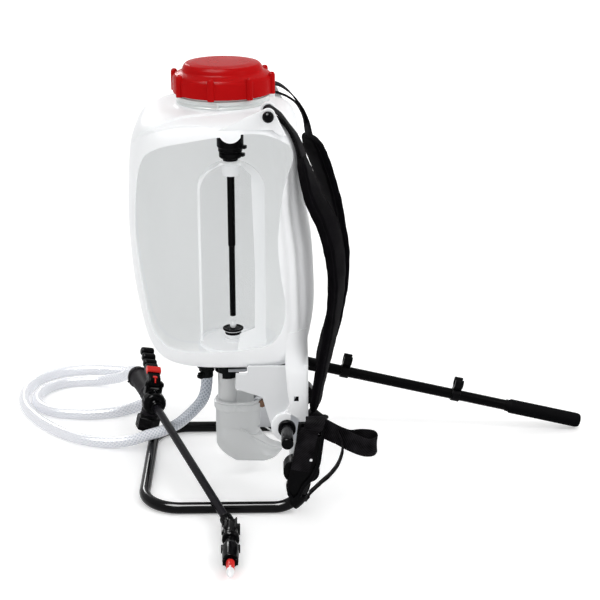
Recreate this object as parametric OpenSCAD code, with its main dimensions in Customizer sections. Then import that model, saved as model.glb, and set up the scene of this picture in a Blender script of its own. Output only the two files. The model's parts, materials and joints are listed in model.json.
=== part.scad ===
// Backpack sprayer, cut open on its near side to show the pump.
// X runs from the tank's outer face to the wearer, Y to the pump lever's side, Z up from the floor.

/* [Tank] */
// Thickness of the moulded tank wall
tank_wall = 4.5; // [3.5:0.5:6]
// Underside of the tank floor above the ground
floor_z = 182; // [176:1:188]
// Outer radius of the filler neck
neck_r = 56; // [54:0.5:57]
// Top edge of the filler neck
neck_top = 541; // [538:1:544]
// Depth of the grooves beside the wearer's back
flute_depth = 11; // [0:1:14]

/* [Lid] */
// Radius of the lid's rim without its ribs
lid_r = 62; // [61:0.5:64]
// Lower edge of the lid's rim
lid_z = 522; // [520:1:526]
// Number of grip ribs
lid_ribs = 8; // [4:1:12]

/* [Pressure vessel] */
// Outer radius of the vessel
vessel_r = 43; // [38:1:46]
// Top of the vessel's dome
vessel_top = 433; // [410:1:440]
// Distance of the vessel's axis from the tank's axis
vessel_x = 8; // [4:1:10]

/* [Pump] */
// Distance of the piston's axis from the tank's axis
pump_x = -1; // [-3:0.5:1]
// Outer radius of the piston tube
piston_r = 12.5; // [11:0.5:13]
// Place of the pump shaft's axis
shaft_x = 77; // [75:0.5:79]
// Height of the pump shaft's axis
shaft_z = 112; // [110:0.5:114]
// Radius of the pump shaft
shaft_r = 7.2; // [7:0.1:7.2]
// Throw of the crank
crank_throw = 33; // [31:0.5:34]
// Slope of the resting crank below the level
crank_rest = 15; // [12:1:16]

/* [Lever] */
// Slope of the resting lever below the level
lever_rest = 13.3; // [12.8:0.1:13.4]
// Length of the lever from the shaft's axis
lever_length = 439; // [400:1:439]
// Middle plane of the lever
lever_y = 126; // [126:0.5:130]

/* [Stand] */
// Radius of the frame's tube
frame_r = 7.5; // [7:0.1:7.5]
// Distance of the two floor runs from the middle
frame_y = 125; // [125:0.5:128]
// Place of the cross run
frame_x = -109; // [-113:0.5:-108]
// Radius of the frame's corners
corner_r = 50; // [40:1:55]

/* [Harness] */
// Width of the shoulder pads
pad_w = 54; // [46:1:58]
// Thickness of the shoulder pads at the crown
pad_t = 13; // [10:0.5:14]
// Width of the webbing
web_w = 24; // [20:1:24]
// Thickness of the webbing
web_t = 1.8; // [1.4:0.1:2.2]

/* [Lance] */
// Radius of the spray wand
wand_r = 5.5; // [5:0.1:6]
// Radius of the hose
hose_r = 7.75; // [7:0.05:7.75]

/* [Hidden] */
$fn = 64;
segments = 60;

// Rows of the tank's outline from its floor to its shoulder: height, outer face, wearer's face, half width
tank_rows = [
    [floor_z, -42, 70, 64],
    [floor_z + 1.5, -60, 86, 80],
    [floor_z + 8, -77.5, 97, 94],
    [floor_z + 20, -90, 102, 103],
    [floor_z + 42, -100.5, 108, 110],
    [260, -108, 113, 115],
    [300, -114, 112.5, 118],
    [345, -117.5, 109.5, 119],
    [385, -118.5, 103, 119],
    [425, -117, 97.5, 118],
    [455, -115, 95, 115],
    [477, -111.5, 93, 110],
    [492, -103.5, 88, 102],
    [500, -92.5, 80, 92],
    [504, -77, 70, 78],
];
// Corner points of the opening cut in the near wall: place along X, height
window_points = [
    [-98, 452], [-105, 402], [-105, 350], [-97, 286], [-88, 240], [-64, 217], [-10, 214], [40, 219],
    [66, 234], [76, 270], [70, 318], [67, 362], [74, 422], [86, 463], [72, 486], [36, 495.5],
    [-36, 484.5], [-80, 472.5],
];
ear_x = 56;
ear_z = 512;
ear_y = 96;
skirt_y = 104;
skirt_z = 66;
boss_r = 20;
bush_r = 9.5;

// Route of the hose from the tank's outlet to the gun
outlet_x = -28;
hose_route = [
    [outlet_x, 0, 147], [outlet_x, 0, 139], [-28.2, 0.3, 131], [-29, 1.3, 123], [-30.4, 3.1, 115],
    [-32.6, 5.8, 107], [-35.7, 9.5, 99], [-40, 14.4, 91], [-46, 20.4, 82], [-53, 27, 72], [-71, 43, 50],
    [-92, 56, 34], [-114, 63, 24], [-139, 67, 14], [-166, 71, 9], [-196, 79, 8], [-226, 95, 8],
    [-254, 120, 8], [-280, 152, 8], [-301, 188, 8], [-313, 225, 8], [-315, 264, 8], [-303, 304, 8],
    [-273, 334, 8], [-232, 345, 8], [-198, 342, 8], [-162, 331, 8], [-131, 300, 8], [-119, 257, 8],
    [-131, 214, 8], [-162, 183, 8], [-202, 172, 8], [-232, 173.5, 8], [-257, 179.5, 8], [-277, 192.5, 8],
    [-290, 212, 8], [-295, 236, 8], [-290, 260, 8], [-277, 280, 8], [-257, 293.5, 8], [-229, 299, 8],
    [-206, 296.5, 9.8], [-187, 287.5, 15.5], [-172, 274, 24], [-160.5, 256.5, 36.5], [-153, 236, 50],
    [-147.5, 219, 58], [-143.6, 206.4, 61], [-140.2, 195.2, 61.5], [-136.2, 182.3, 61.5],
];

// Gun: middle of its front nut, its heading from above, its lean, and its length to the hose nut's mouth
gun_at = [-108, 90, 61.5];
gun_heading = 107;
gun_lean = 13;
gun_length = 108;
// Wand: its heading, its slope down to the floor, and its length
wand_heading = -67.2;
wand_slope = 9.85;
wand_length = 272;
// Nozzle: middle of its elbow
nozzle_at = [6, -181, 13];

// A smooth curve through a list of points, at step u
function knot(p, i) = p[max(0, min(len(p) - 1, i))];
function spline(p, u) =
    let (
        i = min(floor(u), len(p) - 2),
        t = u - i,
        a = knot(p, i - 1),
        b = p[i],
        c = p[i + 1],
        d = knot(p, i + 2)
    )
    b + 0.5 * t * ((c - a) + t * ((2 * a - 5 * b + 4 * c - d) + t * (3 * (b - c) + d - a)));
function sampled(p, steps) = [for (k = [0:(len(p) - 1) * steps]) spline(p, k / steps)];
function looped(p, steps) =
    let (q = [p[len(p) - 1], each p, p[0], p[1]])
    [for (k = [steps:(len(p) + 1) * steps - 1]) spline(q, k / steps)];
function unit(v) = v / norm(v);
function heading(p, i) = unit(p[min(i + 1, len(p) - 1)] - p[max(i - 1, 0)]);
function squared_off(v, t) = unit(v - (v * t) * t);

// A closed solid through a list of rings that all have the same number of points
module loft(rings) {
    n = len(rings[0]);
    m = len(rings);
    polyhedron(
        points = [for (r = rings) each r],
        faces = [
            [for (j = [0:n - 1]) j],
            for (i = [0:m - 2], j = [0:n - 1]) each [
                [i * n + j, (i + 1) * n + j, (i + 1) * n + (j + 1) % n],
                [i * n + j, (i + 1) * n + (j + 1) % n, i * n + (j + 1) % n],
            ],
            [for (j = [n - 1:-1:0]) (m - 1) * n + j],
        ]
    );
}

// A round tube along a path, its rings carried along without twist
module tube_along(path, r, sides) {
    normals = [
        for (
            i = 0, n = squared_off([1, 0.3, 0.2], heading(path, 0));
            i < len(path);
            i = i + 1, n = i < len(path) ? squared_off(n, heading(path, i)) : n
        ) n
    ];
    loft([
        for (i = [0:len(path) - 1])
            let (b = cross(heading(path, i), normals[i]))
            [for (a = [0:360 / sides:359.9]) path[i] + r * (cos(a) * normals[i] + sin(a) * b)]
    ]);
}

// A strip along a path of [x, y, z, turn]: its width lies across the path, turned from Y about Z
module strip(path, section) {
    spine = [for (q = path) [q[0], q[1], q[2]]];
    loft([
        for (i = [0:len(path) - 1])
            let (
                t = heading(spine, i),
                across = squared_off([sin(path[i][3]), cos(path[i][3]), 0], t),
                out = cross(across, t)
            )
            [for (s = section(i / (len(path) - 1))) spine[i] + s[0] * across + s[1] * out]
    ]);
}

module turned(r1, r2, z1, z2) {
    translate([0, 0, z1]) difference() {
        cylinder(r = r2, h = z2 - z1);
        if (r1 > 0) translate([0, 0, -1]) cylinder(r = r1, h = z2 - z1 + 2);
    }
}

// A cylinder along Y between two places
module pin_y(r, y1, y2) {
    translate([0, y2, 0]) rotate([90, 0, 0]) cylinder(r = r, h = y2 - y1);
}

// An outline in the XZ plane, given thickness along Y between two places
module plate_y(y1, y2) {
    translate([0, y2, 0]) rotate([90, 0, 0]) linear_extrude(height = y2 - y1) children();
}

module both_sides() {
    children();
    mirror([0, 1, 0]) children();
}

module rounded_square(w, h, r) {
    square([w - 2 * r, h], center = true);
    square([w, h - 2 * r], center = true);
    for (x = [-1, 1], y = [-1, 1]) translate([x * (w / 2 - r), y * (h / 2 - r)]) circle(r = r);
}

// One level of the tank: a rounded rectangle with a groove at each corner of the wearer's side
function tank_ring(row, inset, z, power, groove) =
    let (
        mid = (row[1] + row[2]) / 2,
        a = (row[2] - row[1]) / 2 - inset,
        b = row[3] - inset
    )
    [
        for (k = [0:segments - 1])
            let (
                t = 360 * k / segments,
                side = t > 180 ? 360 - t : t,
                r = pow(pow(abs(cos(t)) / a, power) + pow(abs(sin(t)) / b, power), -1 / power),
                dip = groove * exp(-pow((side - 43) / 10, 2))
            )
            [mid + (r - dip) * cos(t), (r - dip) * sin(t), z]
    ];
function circle_ring(r, z) =
    [for (k = [0:segments - 1]) [r * cos(360 * k / segments), r * sin(360 * k / segments), z]];
function groove_at(z) = flute_depth * max(0, min(1, (z - 205) / 70)) * max(0, min(1, (492 - z) / 90));
function tank_power(z) = z > 495 ? 3 : z < floor_z + 5 ? 3.4 : 4.6;

// Height where the filler neck stands on the tank's shoulder
neck_foot = tank_rows[len(tank_rows) - 1][0] + 6;

module tank_wall_solid() {
    levels = sampled(tank_rows, 1);
    top = levels[len(levels) - 1][0];
    squeeze = 1 - 2 * tank_wall / (top - floor_z);
    loft([
        for (row = levels) tank_ring(row, 0, row[0], tank_power(row[0]), groove_at(row[0])),
        circle_ring(neck_r + 2, top + 3),
        circle_ring(neck_r, neck_foot),
        circle_ring(neck_r - 4, neck_foot),
        circle_ring(neck_r - 4, top - tank_wall),
        for (k = [len(levels) - 1:-1:0])
            let (row = levels[k])
            tank_ring(
                row, tank_wall, floor_z + tank_wall + (row[0] - floor_z) * squeeze,
                tank_power(row[0]), groove_at(row[0])
            ),
    ]);
}

module tank_window() {
    plate_y(-150, -60) difference() {
        polygon(looped(window_points, 3));
        union() {
            translate([11, 495]) circle(r = 14.5);
            translate([-3.5, 495]) square([29, 20]);
        }
    }
}

module strap_ear() {
    difference() {
        union() {
            plate_y(-ear_y - 5, -ear_y + 5) {
                polygon([[-4, 495], [46, 519], [68, 516], [78, 487], [68, 489.5], [62, 495]]);
                translate([ear_x, ear_z]) circle(r = 12);
            }
            plate_y(-66, -58) {
                translate([ear_x, ear_z]) circle(r = 9);
                translate([ear_x - 9, 498]) square([18, ear_z - 498]);
            }
        }
        translate([ear_x, 0, ear_z]) pin_y(4, -ear_y - 10, -50);
    }
}

// The wall below the tank that carries one end of the pump shaft
module skirt_side() {
    difference() {
        union() {
            plate_y(-skirt_y, -skirt_y + 4)
                polygon([[28, 198], [28, 184], [13, 184], [12, 163], [46, 151], [58, 108], [82, 92], [82, 198]]);
            plate_y(-skirt_y - 6, -skirt_y + 10) translate([shaft_x, shaft_z]) circle(r = boss_r);
            plate_y(-skirt_y - 6, -skirt_y - 2)
                polygon([[75, 196], [78, 158], [80, 147], [80, skirt_z], [104, skirt_z], [104, 196]]);
            hull() {
                translate([75, -skirt_y - 6, 190]) cube([29, 4, 6]);
                translate([78, -102.5, 236]) cube([1, 2, 1]);
                translate([98, -91, 236]) cube([1, 2, 1]);
            }
            translate([80, -skirt_y - 6, 150]) cube([4, 10, 46]);
            translate([100, -skirt_y - 6, skirt_z]) cube([4, 40, 130]);
        }
        translate([shaft_x, 0, shaft_z]) pin_y(bush_r, -skirt_y - 20, -skirt_y + 20);
        translate([86, -skirt_y - 10, 146.8]) cube([6, 9.5, 8]);
    }
}

module tank_shell() {
    color("WhiteSmoke") union() {
        difference() {
            tank_wall_solid();
            tank_window();
            translate([pump_x, 0, floor_z - 20]) cylinder(r = 20, h = 60);
        }
        both_sides() strap_ear();
        both_sides() skirt_side();
    }
}

module filler_neck() {
    color("WhiteSmoke") turned(neck_r - 4, neck_r, neck_foot, neck_top);
}

module skirt_panel() {
    color("WhiteSmoke") translate([100, -70, 150]) cube([4, 140, 44]);
}

module lid() {
    color("Crimson") difference() {
        union() {
            rotate_extrude() polygon([
                [0, lid_z + 23], [neck_r + 2.5, lid_z + 23], [neck_r + 2.5, lid_z], [lid_r, lid_z],
                [lid_r, lid_z + 21], [lid_r - 2, lid_z + 24], [lid_r - 9, lid_z + 26.5],
                [lid_r - 11, lid_z + 29], [lid_r - 12.5, lid_z + 34.5], [lid_r - 15, lid_z + 37.5],
                [lid_r - 25, lid_z + 38.5], [0, lid_z + 38.5],
            ]);
            for (k = [0:lid_ribs - 1])
                rotate(258 + 360 * k / lid_ribs) translate([lid_r, 0, 0]) {
                    translate([0, 0, lid_z - 1]) cylinder(r = 5, h = 23);
                    translate([0, 0, lid_z + 22]) sphere(r = 5);
                }
        }
        translate([0, 0, lid_z - 5]) cylinder(r = neck_r + 2.5, h = 28);
    }
}

module lid_gasket() {
    color("DimGray") turned(neck_r - 7, neck_r, neck_top + 2, neck_top + 3.7);
}

module filler_strainer() {
    color("DarkSlateGray") {
        turned(neck_r - 6, neck_r - 1, neck_top, neck_top + 2);
        turned(neck_r - 7, neck_r - 5, neck_top - 30, neck_top + 2);
        difference() {
            turned(0, neck_r - 5, neck_top - 32, neck_top - 30);
            for (a = [0:30:330], r = [14, 28, 42])
                rotate(a) translate([r, 0, neck_top - 40]) cylinder(r = 2.6, h = 20);
        }
    }
}

module strap_pins() {
    color("Black") both_sides() translate([ear_x, 0, ear_z]) {
        pin_y(4, -ear_y - 12, -54);
        translate([0, -ear_y - 12, 0]) sphere(r = 7);
    }
}

vessel_floor = floor_z + tank_wall;
module pressure_vessel() {
    dome = 38;
    color("Gainsboro") translate([vessel_x, 0, 0]) difference() {
        rotate_extrude() polygon([
            [10, vessel_floor], [vessel_r + 1, vessel_floor], [vessel_r + 1, vessel_floor + 5],
            [vessel_r, vessel_floor + 8],
            for (a = [0:10:70]) [vessel_r * cos(a), vessel_top - dome + dome * sin(a)],
            [12, vessel_top], [9, vessel_top], [9, vessel_top - 4],
            for (a = [70:-10:0]) [(vessel_r - 3) * cos(a), vessel_top - dome - 3 + dome * sin(a)],
            [vessel_r - 3, vessel_floor + 4], [10, vessel_floor + 4],
        ]);
        plate_y(-vessel_r - 10, -6) polygon([
            [-vessel_r - 5, vessel_floor + 4.5], [6, vessel_floor + 4.5], [10, vessel_floor + 28],
            [vessel_r - 14, vessel_floor + 32], [vessel_r - 13, 300], [vessel_r - 14, vessel_top - 22],
            [12, vessel_top - 9], [-12, vessel_top - 7], [-vessel_r - 5, vessel_top - 34],
        ]);
    }
}

module vessel_bushing() {
    color("Silver") translate([vessel_x, 0, 0]) {
        turned(4.8, 9, vessel_top - 8, vessel_top + 4);
        turned(4.8, 11.5, vessel_top - 24, vessel_top - 8);
    }
}

module collar_with_tab(r, z1, z2, tab) {
    translate([vessel_x, 0, 0]) difference() {
        union() {
            translate([0, 0, z1]) cylinder(r = r, h = z2 - z1);
            rotate(-25) translate([0, -3.5, tab - 2.2]) cube([r + 5, 7, 4.4]);
        }
        translate([0, 0, z1 - 1]) cylinder(r = 9, h = z2 - z1 + 2);
    }
}

module lock_ring() {
    color("Black") collar_with_tab(14.5, vessel_top, vessel_top + 12, vessel_top + 7);
}

module relief_valve() {
    color("Black") {
        collar_with_tab(17, vessel_top + 12.5, vessel_top + 34, vessel_top + 17);
        translate([vessel_x, 0, vessel_top + 5]) cylinder(r = 9, h = 33);
    }
}

module dip_tube() {
    color("Black") translate([vessel_x, 0, vessel_top - 22]) {
        cylinder(r = 4.8, h = 26);
        translate([0, 0, -92]) cylinder(r = 4.8, h = 93);
        translate([0, 0, -187]) cylinder(r = 3.9, h = 96);
    }
}

seat_top = vessel_floor + 14;
module valve_seat() {
    color("White") translate([vessel_x, 0, 0]) difference() {
        union() {
            translate([0, 0, vessel_floor]) cylinder(r = 10, h = seat_top - vessel_floor);
            translate([0, 0, vessel_floor + 4]) cylinder(r = 12.5, h = 4);
        }
        translate([0, 0, vessel_floor - 1]) cylinder(r = 4, h = 40);
    }
}

module seat_ring() {
    color("Black") translate([vessel_x, 0, 0]) turned(4, 8.6, seat_top, seat_top + 3);
}

module valve_disc() {
    color("Black") translate([vessel_x, 0, 0]) {
        translate([0, 0, seat_top + 3.2]) cylinder(r1 = 12.4, r2 = 13.6, h = 1.6);
        translate([0, 0, seat_top + 4.8]) cylinder(r = 13.6, h = 2.2);
        translate([0, 0, seat_top - 14]) cylinder(r = 3.2, h = 18);
    }
}

module valve_knob() {
    color("White") translate([vessel_x, 0, seat_top + 7]) {
        cylinder(r1 = 3, r2 = 4.2, h = 3);
        translate([0, 0, 4.3]) sphere(r = 4.2);
    }
}

head_z = 147;
elbow_r = 13;
module pump_head() {
    lobes = 10;
    color("Black") translate([pump_x, 0, 0]) difference() {
        union() {
            translate([0, 0, head_z + 12]) cylinder(r = 25, h = floor_z - head_z - 12);
            translate([0, 0, head_z]) cylinder(r = 16, h = 14);
            intersection() {
                translate([0, 0, head_z - 7]) cylinder(r = 16, h = 14);
                translate([-6, -20, head_z - 8]) cube([40, 40, 20]);
            }
            for (k = [0:lobes - 1])
                rotate(18 + 360 * k / lobes) translate([23, 0, head_z + 10])
                    cylinder(r = 5, h = floor_z - head_z - 12);
        }
        translate([3, -38, head_z + 12]) cube([20, 22, 4]);
        translate([0, 0, head_z - 10]) cylinder(r = piston_r, h = 60);
        translate([outlet_x - pump_x, 0, head_z - 1]) cylinder(r = elbow_r, h = 60);
    }
}

module head_tab() {
    color("Gray") difference() {
        translate([pump_x + 3, -38, head_z + 12]) linear_extrude(height = 4) {
            square([20, 22]);
            translate([20, 4.5]) circle(r = 4.5);
        }
        translate([pump_x + 23, -33.5, head_z]) cylinder(r = 1.8, h = 30);
    }
}

module outlet_elbow() {
    color("Black") translate([outlet_x, 0, 0]) rotate_extrude() polygon([
        [5.5, 147], [10.5, 147], [10.5, 151], [elbow_r, 153], [elbow_r, 172], [11, 178], [7, floor_z],
        [0, floor_z], [0, 171], [4, 169], [5.5, 166],
    ]);
}

module hose_clamp() {
    color("Silver") translate([outlet_x, 0, 0]) {
        turned(hose_r, hose_r + 0.9, 138.5, 146.5);
        translate([-hose_r - 4.5, -3.5, 138.5]) cube([4, 7, 8]);
        translate([-hose_r - 2.5, 5.5, 142.5]) rotate([90, 0, 0]) cylinder(r = 2.6, h = 11, $fn = 6);
    }
}

piston_end = 72;
module piston_tube() {
    color("Gainsboro") translate([pump_x, 0, 0]) difference() {
        translate([0, 0, piston_end]) cylinder(r = piston_r, h = floor_z - piston_end);
        translate([0, 0, piston_end - 1]) cylinder(r = piston_r - 3, h = floor_z);
        translate([0, 0, piston_end + 3]) difference() {
            cylinder(r = piston_r + 1, h = 5);
            translate([0, 0, -1]) cylinder(r = piston_r - 1.5, h = 7);
        }
    }
}

seal_r = 14.4;
module piston_seal() {
    color("DimGray") translate([pump_x, 0, 0])
        turned(piston_r - 1.5, seal_r - 0.05, piston_end + 3, piston_end + 8);
}

cup_bottom = 25;
cup_top = 108;
cheek_gap = 9;
cheek_t = 2;
crank_z = shaft_z - crank_throw * sin(crank_rest);
slot_x1 = shaft_x - crank_throw * cos(crank_rest) - 0.6;
slot_x2 = slot_x1 + 12.5;
slot_r = 5.6;
// A stadium seen from above between two places along X, drawn in by an inset
module cup_oval(from, to, width, inset) {
    r = width / 2;
    translate([from + r, 0]) circle(r = r - inset);
    translate([to - r, 0]) circle(r = r - inset);
    translate([from + r, -r + inset]) square([to - from - 2 * r, 2 * (r - inset)]);
}

module pump_cylinder() {
    color("Gainsboro") difference() {
        union() {
            translate([0, 0, 44]) linear_extrude(height = cup_top - 44) cup_oval(-17, 45, 46, 0);
            translate([0, 0, cup_top - 12]) linear_extrude(height = 9) cup_oval(-19, 47, 50, 0);
            translate([14, -22, cup_top - 8]) rotate([90, 0, 0]) cylinder(r = 4, h = 4);
            intersection() {
                translate([0, 0, cup_bottom]) linear_extrude(height = 48) cup_oval(-17, 73, 56, 0);
                plate_y(-40, 40) polygon([
                    [-20, 46], [-17, 40], [12, cup_bottom], [48, cup_bottom],
                    [62, 28], [71, 33], [74, 36], [16, 72], [-20, 72],
                ]);
            }
        }
        translate([pump_x, 0, 52]) cylinder(r = seal_r, h = 80);
        translate([pump_x, 0, 38]) cylinder(r = 6, h = 20);
        translate([pump_x, 0, 20]) cylinder(r = 3.6, h = 30);
        translate([0, 0, 56]) linear_extrude(height = 70) intersection() {
            cup_oval(-17, 45, 46, 3);
            translate([17, -30]) square([60, 60]);
        }
        translate([38, -cheek_gap - cheek_t, 56]) cube([40, 2 * (cheek_gap + cheek_t), 80]);
        translate([36, -16, 96]) cube([40, 32, 40]);
    }
}

// Two steel cheeks on the pump cylinder with a level slot for the crank's pin
module slot_bracket() {
    color("LightSteelBlue") both_sides() difference() {
        plate_y(-cheek_gap - cheek_t, -cheek_gap)
            polygon([[34, 108], [38, 112], [58, 112], [66, 107], [66, 94], [57, 68], [38, 68], [34, 72]]);
        plate_y(-30, 0) {
            translate([slot_x1, crank_z]) circle(r = slot_r);
            translate([slot_x2, crank_z]) circle(r = slot_r);
            translate([slot_x1, crank_z - slot_r]) square([slot_x2 - slot_x1, 2 * slot_r]);
        }
    }
}

module inlet_ball() {
    color("SteelBlue") translate([pump_x, 0, 41.8]) sphere(r = 5);
}

module crank_arm() {
    color("LightSlateGray") translate([shaft_x, 0, shaft_z]) rotate([0, -crank_rest, 0]) difference() {
        plate_y(-3, 3) {
            circle(r = 14);
            translate([-crank_throw, 0]) circle(r = 7);
            polygon([[-crank_throw, 7], [-crank_throw, -7], [-4, -14], [0, -14], [0, 14], [-4, 14]]);
        }
        pin_y(shaft_r, -10, 10);
        translate([-crank_throw, 0, 0]) pin_y(4, -10, 10);
    }
}

module crank_pin() {
    color("Peru") translate([shaft_x, 0, shaft_z]) rotate([0, -crank_rest, 0])
        translate([-crank_throw, 0, 0]) {
            pin_y(4, -13, 13);
            pin_y(5, -14.5, -12);
            pin_y(5, 12, 14.5);
        }
}

stub_y = -159;
stub_r = 7.5;
module pump_shaft() {
    color("DimGray") translate([shaft_x, 0, shaft_z]) difference() {
        union() {
            pin_y(shaft_r, -skirt_y - 14, lever_y + 5);
            pin_y(stub_r, stub_y, -skirt_y - 14);
        }
        pin_y(shaft_r - 2, stub_y - 1, lever_y + 6);
        translate([0, stub_y + 24, 0]) rotate([0, 90, 0]) translate([0, 0, -20]) cylinder(r = 2.2, h = 40);
    }
}

module shaft_bushings() {
    color("Black") translate([shaft_x, 0, shaft_z]) both_sides() difference() {
        union() {
            pin_y(bush_r, -skirt_y - 6, -skirt_y + 10);
            pin_y(11.3, -skirt_y - 13, -skirt_y - 6);
        }
        pin_y(shaft_r + 0.05, -skirt_y - 20, -skirt_y + 20);
    }
}

module shaft_cap() {
    color("Black") translate([shaft_x, 0, shaft_z]) {
        pin_y(shaft_r - 2, stub_y, stub_y + 14);
        pin_y(stub_r - 0.3, stub_y - 2, stub_y);
    }
}

module on_lever() {
    translate([shaft_x, lever_y, shaft_z]) rotate([0, lever_rest, 0]) children();
}

socket_end = 52;
module lever_hub() {
    color("Black") difference() {
        union() {
            translate([shaft_x, 0, shaft_z]) pin_y(14, lever_y - 8.4, lever_y + 8.4);
            on_lever() translate([12, 0, 0]) rotate([0, 90, 0]) cylinder(r = 9.4, h = socket_end - 12);
        }
        translate([shaft_x, 0, shaft_z]) pin_y(shaft_r, lever_y - 20, lever_y + 5);
        on_lever() translate([18, 0, 0]) rotate([0, 90, 0]) cylinder(r = 7.5, h = 60);
    }
}

module lever_tube() {
    color("Black") on_lever() rotate([0, 90, 0]) difference() {
        translate([0, 0, 18]) cylinder(r = 7.5, h = lever_length - 26);
        translate([0, 0, 17]) cylinder(r = 6, h = lever_length);
    }
}

grip_length = 106;
module lever_grip() {
    color("Black") on_lever() rotate([0, 90, 0]) difference() {
        union() {
            translate([0, 0, lever_length - grip_length]) cylinder(r = 10.2, h = grip_length - 2);
            translate([0, 0, lever_length - 2]) cylinder(r1 = 10.2, r2 = 8.5, h = 2);
            translate([0, 0, lever_length - grip_length - 6]) cylinder(r = 8.6, h = 6);
        }
        translate([0, 0, lever_length - grip_length - 7]) cylinder(r = 7.5, h = grip_length - 1);
    }
}

// A clip on the lever with an open mouth above it for the spray wand
module lance_clips() {
    color("Black") on_lever() for (x = [88, 252]) translate([x, 0, 0]) difference() {
        rotate([0, 90, 0]) translate([0, 0, -6]) union() {
            cylinder(r = 9.5, h = 12);
            translate([-18, 0, 0]) cylinder(r = 9, h = 12);
            translate([-18, -6, 0]) cube([18, 12, 12]);
        }
        rotate([0, 90, 0]) translate([0, 0, -10]) {
            cylinder(r = 7.5, h = 20);
            translate([-18, 0, 0]) cylinder(r = wand_r, h = 20);
            translate([-40, -4.5, 0]) cube([22, 9, 20]);
        }
    }
}

rise_x = 60;
rise_r = 40;
rise_top = 90;
frame_wall = 1.6;
module tube_section() {
    difference() {
        circle(r = frame_r);
        circle(r = frame_r - frame_wall);
    }
}

// A quarter bend of the frame's tube about Z
module bend(r, start, angle) {
    rotate([0, 0, start]) rotate_extrude(angle = angle) translate([r, 0]) tube_section();
}

module base_frame() {
    color("Black") translate([0, 0, frame_r]) {
        translate([frame_x, frame_y - corner_r, 0]) rotate([90, 0, 0])
            linear_extrude(height = 2 * (frame_y - corner_r)) tube_section();
        both_sides() {
            translate([frame_x + corner_r, -frame_y + corner_r, 0]) bend(corner_r, 180, 90);
            translate([frame_x + corner_r, -frame_y, 0]) rotate([0, 90, 0])
                linear_extrude(height = rise_x - frame_x - corner_r) tube_section();
            translate([rise_x, -frame_y, rise_r]) rotate([90, 0, 0]) bend(rise_r, 270, 90);
            translate([rise_x + rise_r, -frame_y, rise_r])
                linear_extrude(height = rise_top - rise_r - frame_r) tube_section();
        }
    }
}

bracket_z = 45;
module frame_brackets() {
    color("Black") both_sides() difference() {
        union() {
            translate([95, 0, bracket_z + 16]) plate_y(-frame_y - frame_r - 1, -skirt_y - 6)
                rounded_square(46, 31, 14);
            translate([rise_x + rise_r, -frame_y, bracket_z]) cylinder(r = frame_r + 1.4, h = 40);
        }
        translate([rise_x + rise_r, -frame_y, 0]) cylinder(r = frame_r, h = 200);
        translate([40, -skirt_y - 6, 0]) cube([100, 60, 200]);
    }
}

// Middle lines of the shoulder pads: place along X, across, height and turn
near_pad_path = [
    [98, -79, 450, 0], [103, -84, 432, 12], [111, -88, 408, 20], [126, -90, 378, 24], [135, -91, 348, 24],
    [139, -92, 318, 22], [139, -92, 286, 20], [135, -92, 254, 18], [130, -92, 222, 17], [123, -92, 188, 15],
    [116, -92, 154, 12], [112, -92, 132, 8],
];
far_pad_path = [
    [108, 79, 458, 0], [118, 84, 432, -8], [130, 87, 402, -14], [141, 89, 366, -16], [149, 90, 328, -16],
    [154, 90, 290, -16], [154, 90, 252, -15], [150, 90, 216, -13], [144, 90, 184, -12], [134, 90, 148, -10],
    [125, 90, 118, -8],
];
function pad_section(u) =
    let (
        taper = 1 - pow(2 * abs(u - 0.5), 8) * 0.45,
        w = pad_w / 2 * taper,
        t = pad_t / 2 * taper
    )
    [for (a = [0:30:330]) [w * sign(cos(a)) * pow(abs(cos(a)), 0.6), t * sin(a)]];
module near_pad() {
    color("Black") strip(sampled(near_pad_path, 2), function(u) pad_section(u));
}
module far_pad() {
    color("Black") strip(sampled(far_pad_path, 2), function(u) pad_section(u));
}

function web_section(u) = [
    [-web_w / 2, -web_t / 2], [web_w / 2, -web_t / 2], [web_w / 2, web_t / 2], [-web_w / 2, web_t / 2],
];
module webbing(points, steps) {
    strip(sampled(points, steps), function(u) web_section(u));
}

// Webbing that leaves the pad, goes round the ear's pin and comes back below itself
wrap_r = 5.9;
pin_wrap = [for (a = [60:30:270]) [ear_x + wrap_r * cos(a), ear_z + wrap_r * sin(a)]];
web_return = [[66, 504], [74, 501], [80, 498.2]];
module near_upper_web() {
    color("Black") webbing([
        for (q = [[98.2, 453.6], [99, 468], [95, 483], [84.5, 499], [72.5, 512.5], each pin_wrap, each web_return])
            [q[0], -78.5, q[1], 0]
    ], 1);
}
module far_upper_web() {
    color("Black") webbing([
        for (q = [[107.3, 460.3], [102, 474], [93, 490], [82, 504], [71, 514], each pin_wrap, each web_return])
            [q[0], 78.5, q[1], 0]
    ], 1);
}

hook_y = 134;
hook_t = 6.5;
// Webbing that leaves the pad, goes over the hook's bar and down its face
module near_lower_web() {
    color("Black") webbing([
        [112, -92, 131.9, 8], [112.3, -92.5, 127, 10], [115, -96, 123, 22], [118, -104, 122.5, 45],
        [116.5, -115, 125.5, 75], [110.5, -126, 130.5, 88], [106.5, -134, 132.4, 90], [106, -139, 133.2, 90],
        [105.2, -142.4, 128.5, 90], [104, -142.4, 118, 90], [100, -142.4, 96, 90], [96, -142.4, 72, 90],
    ], 2);
}
module far_lower_web() {
    color("Black") webbing([
        [125, 90, 117.9, -8], [123.5, 90.5, 112, -8], [125, 94, 102, -7], [129, 104, 80, -3], [127, 114, 56, 0],
        [117, 119, 36, 0], for (a = [31, 39, 47, 53]) [rise_x + 52.4 * cos(a), 121, 47.5 - 52.4 * sin(a), 0],
    ], 2);
}

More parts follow.
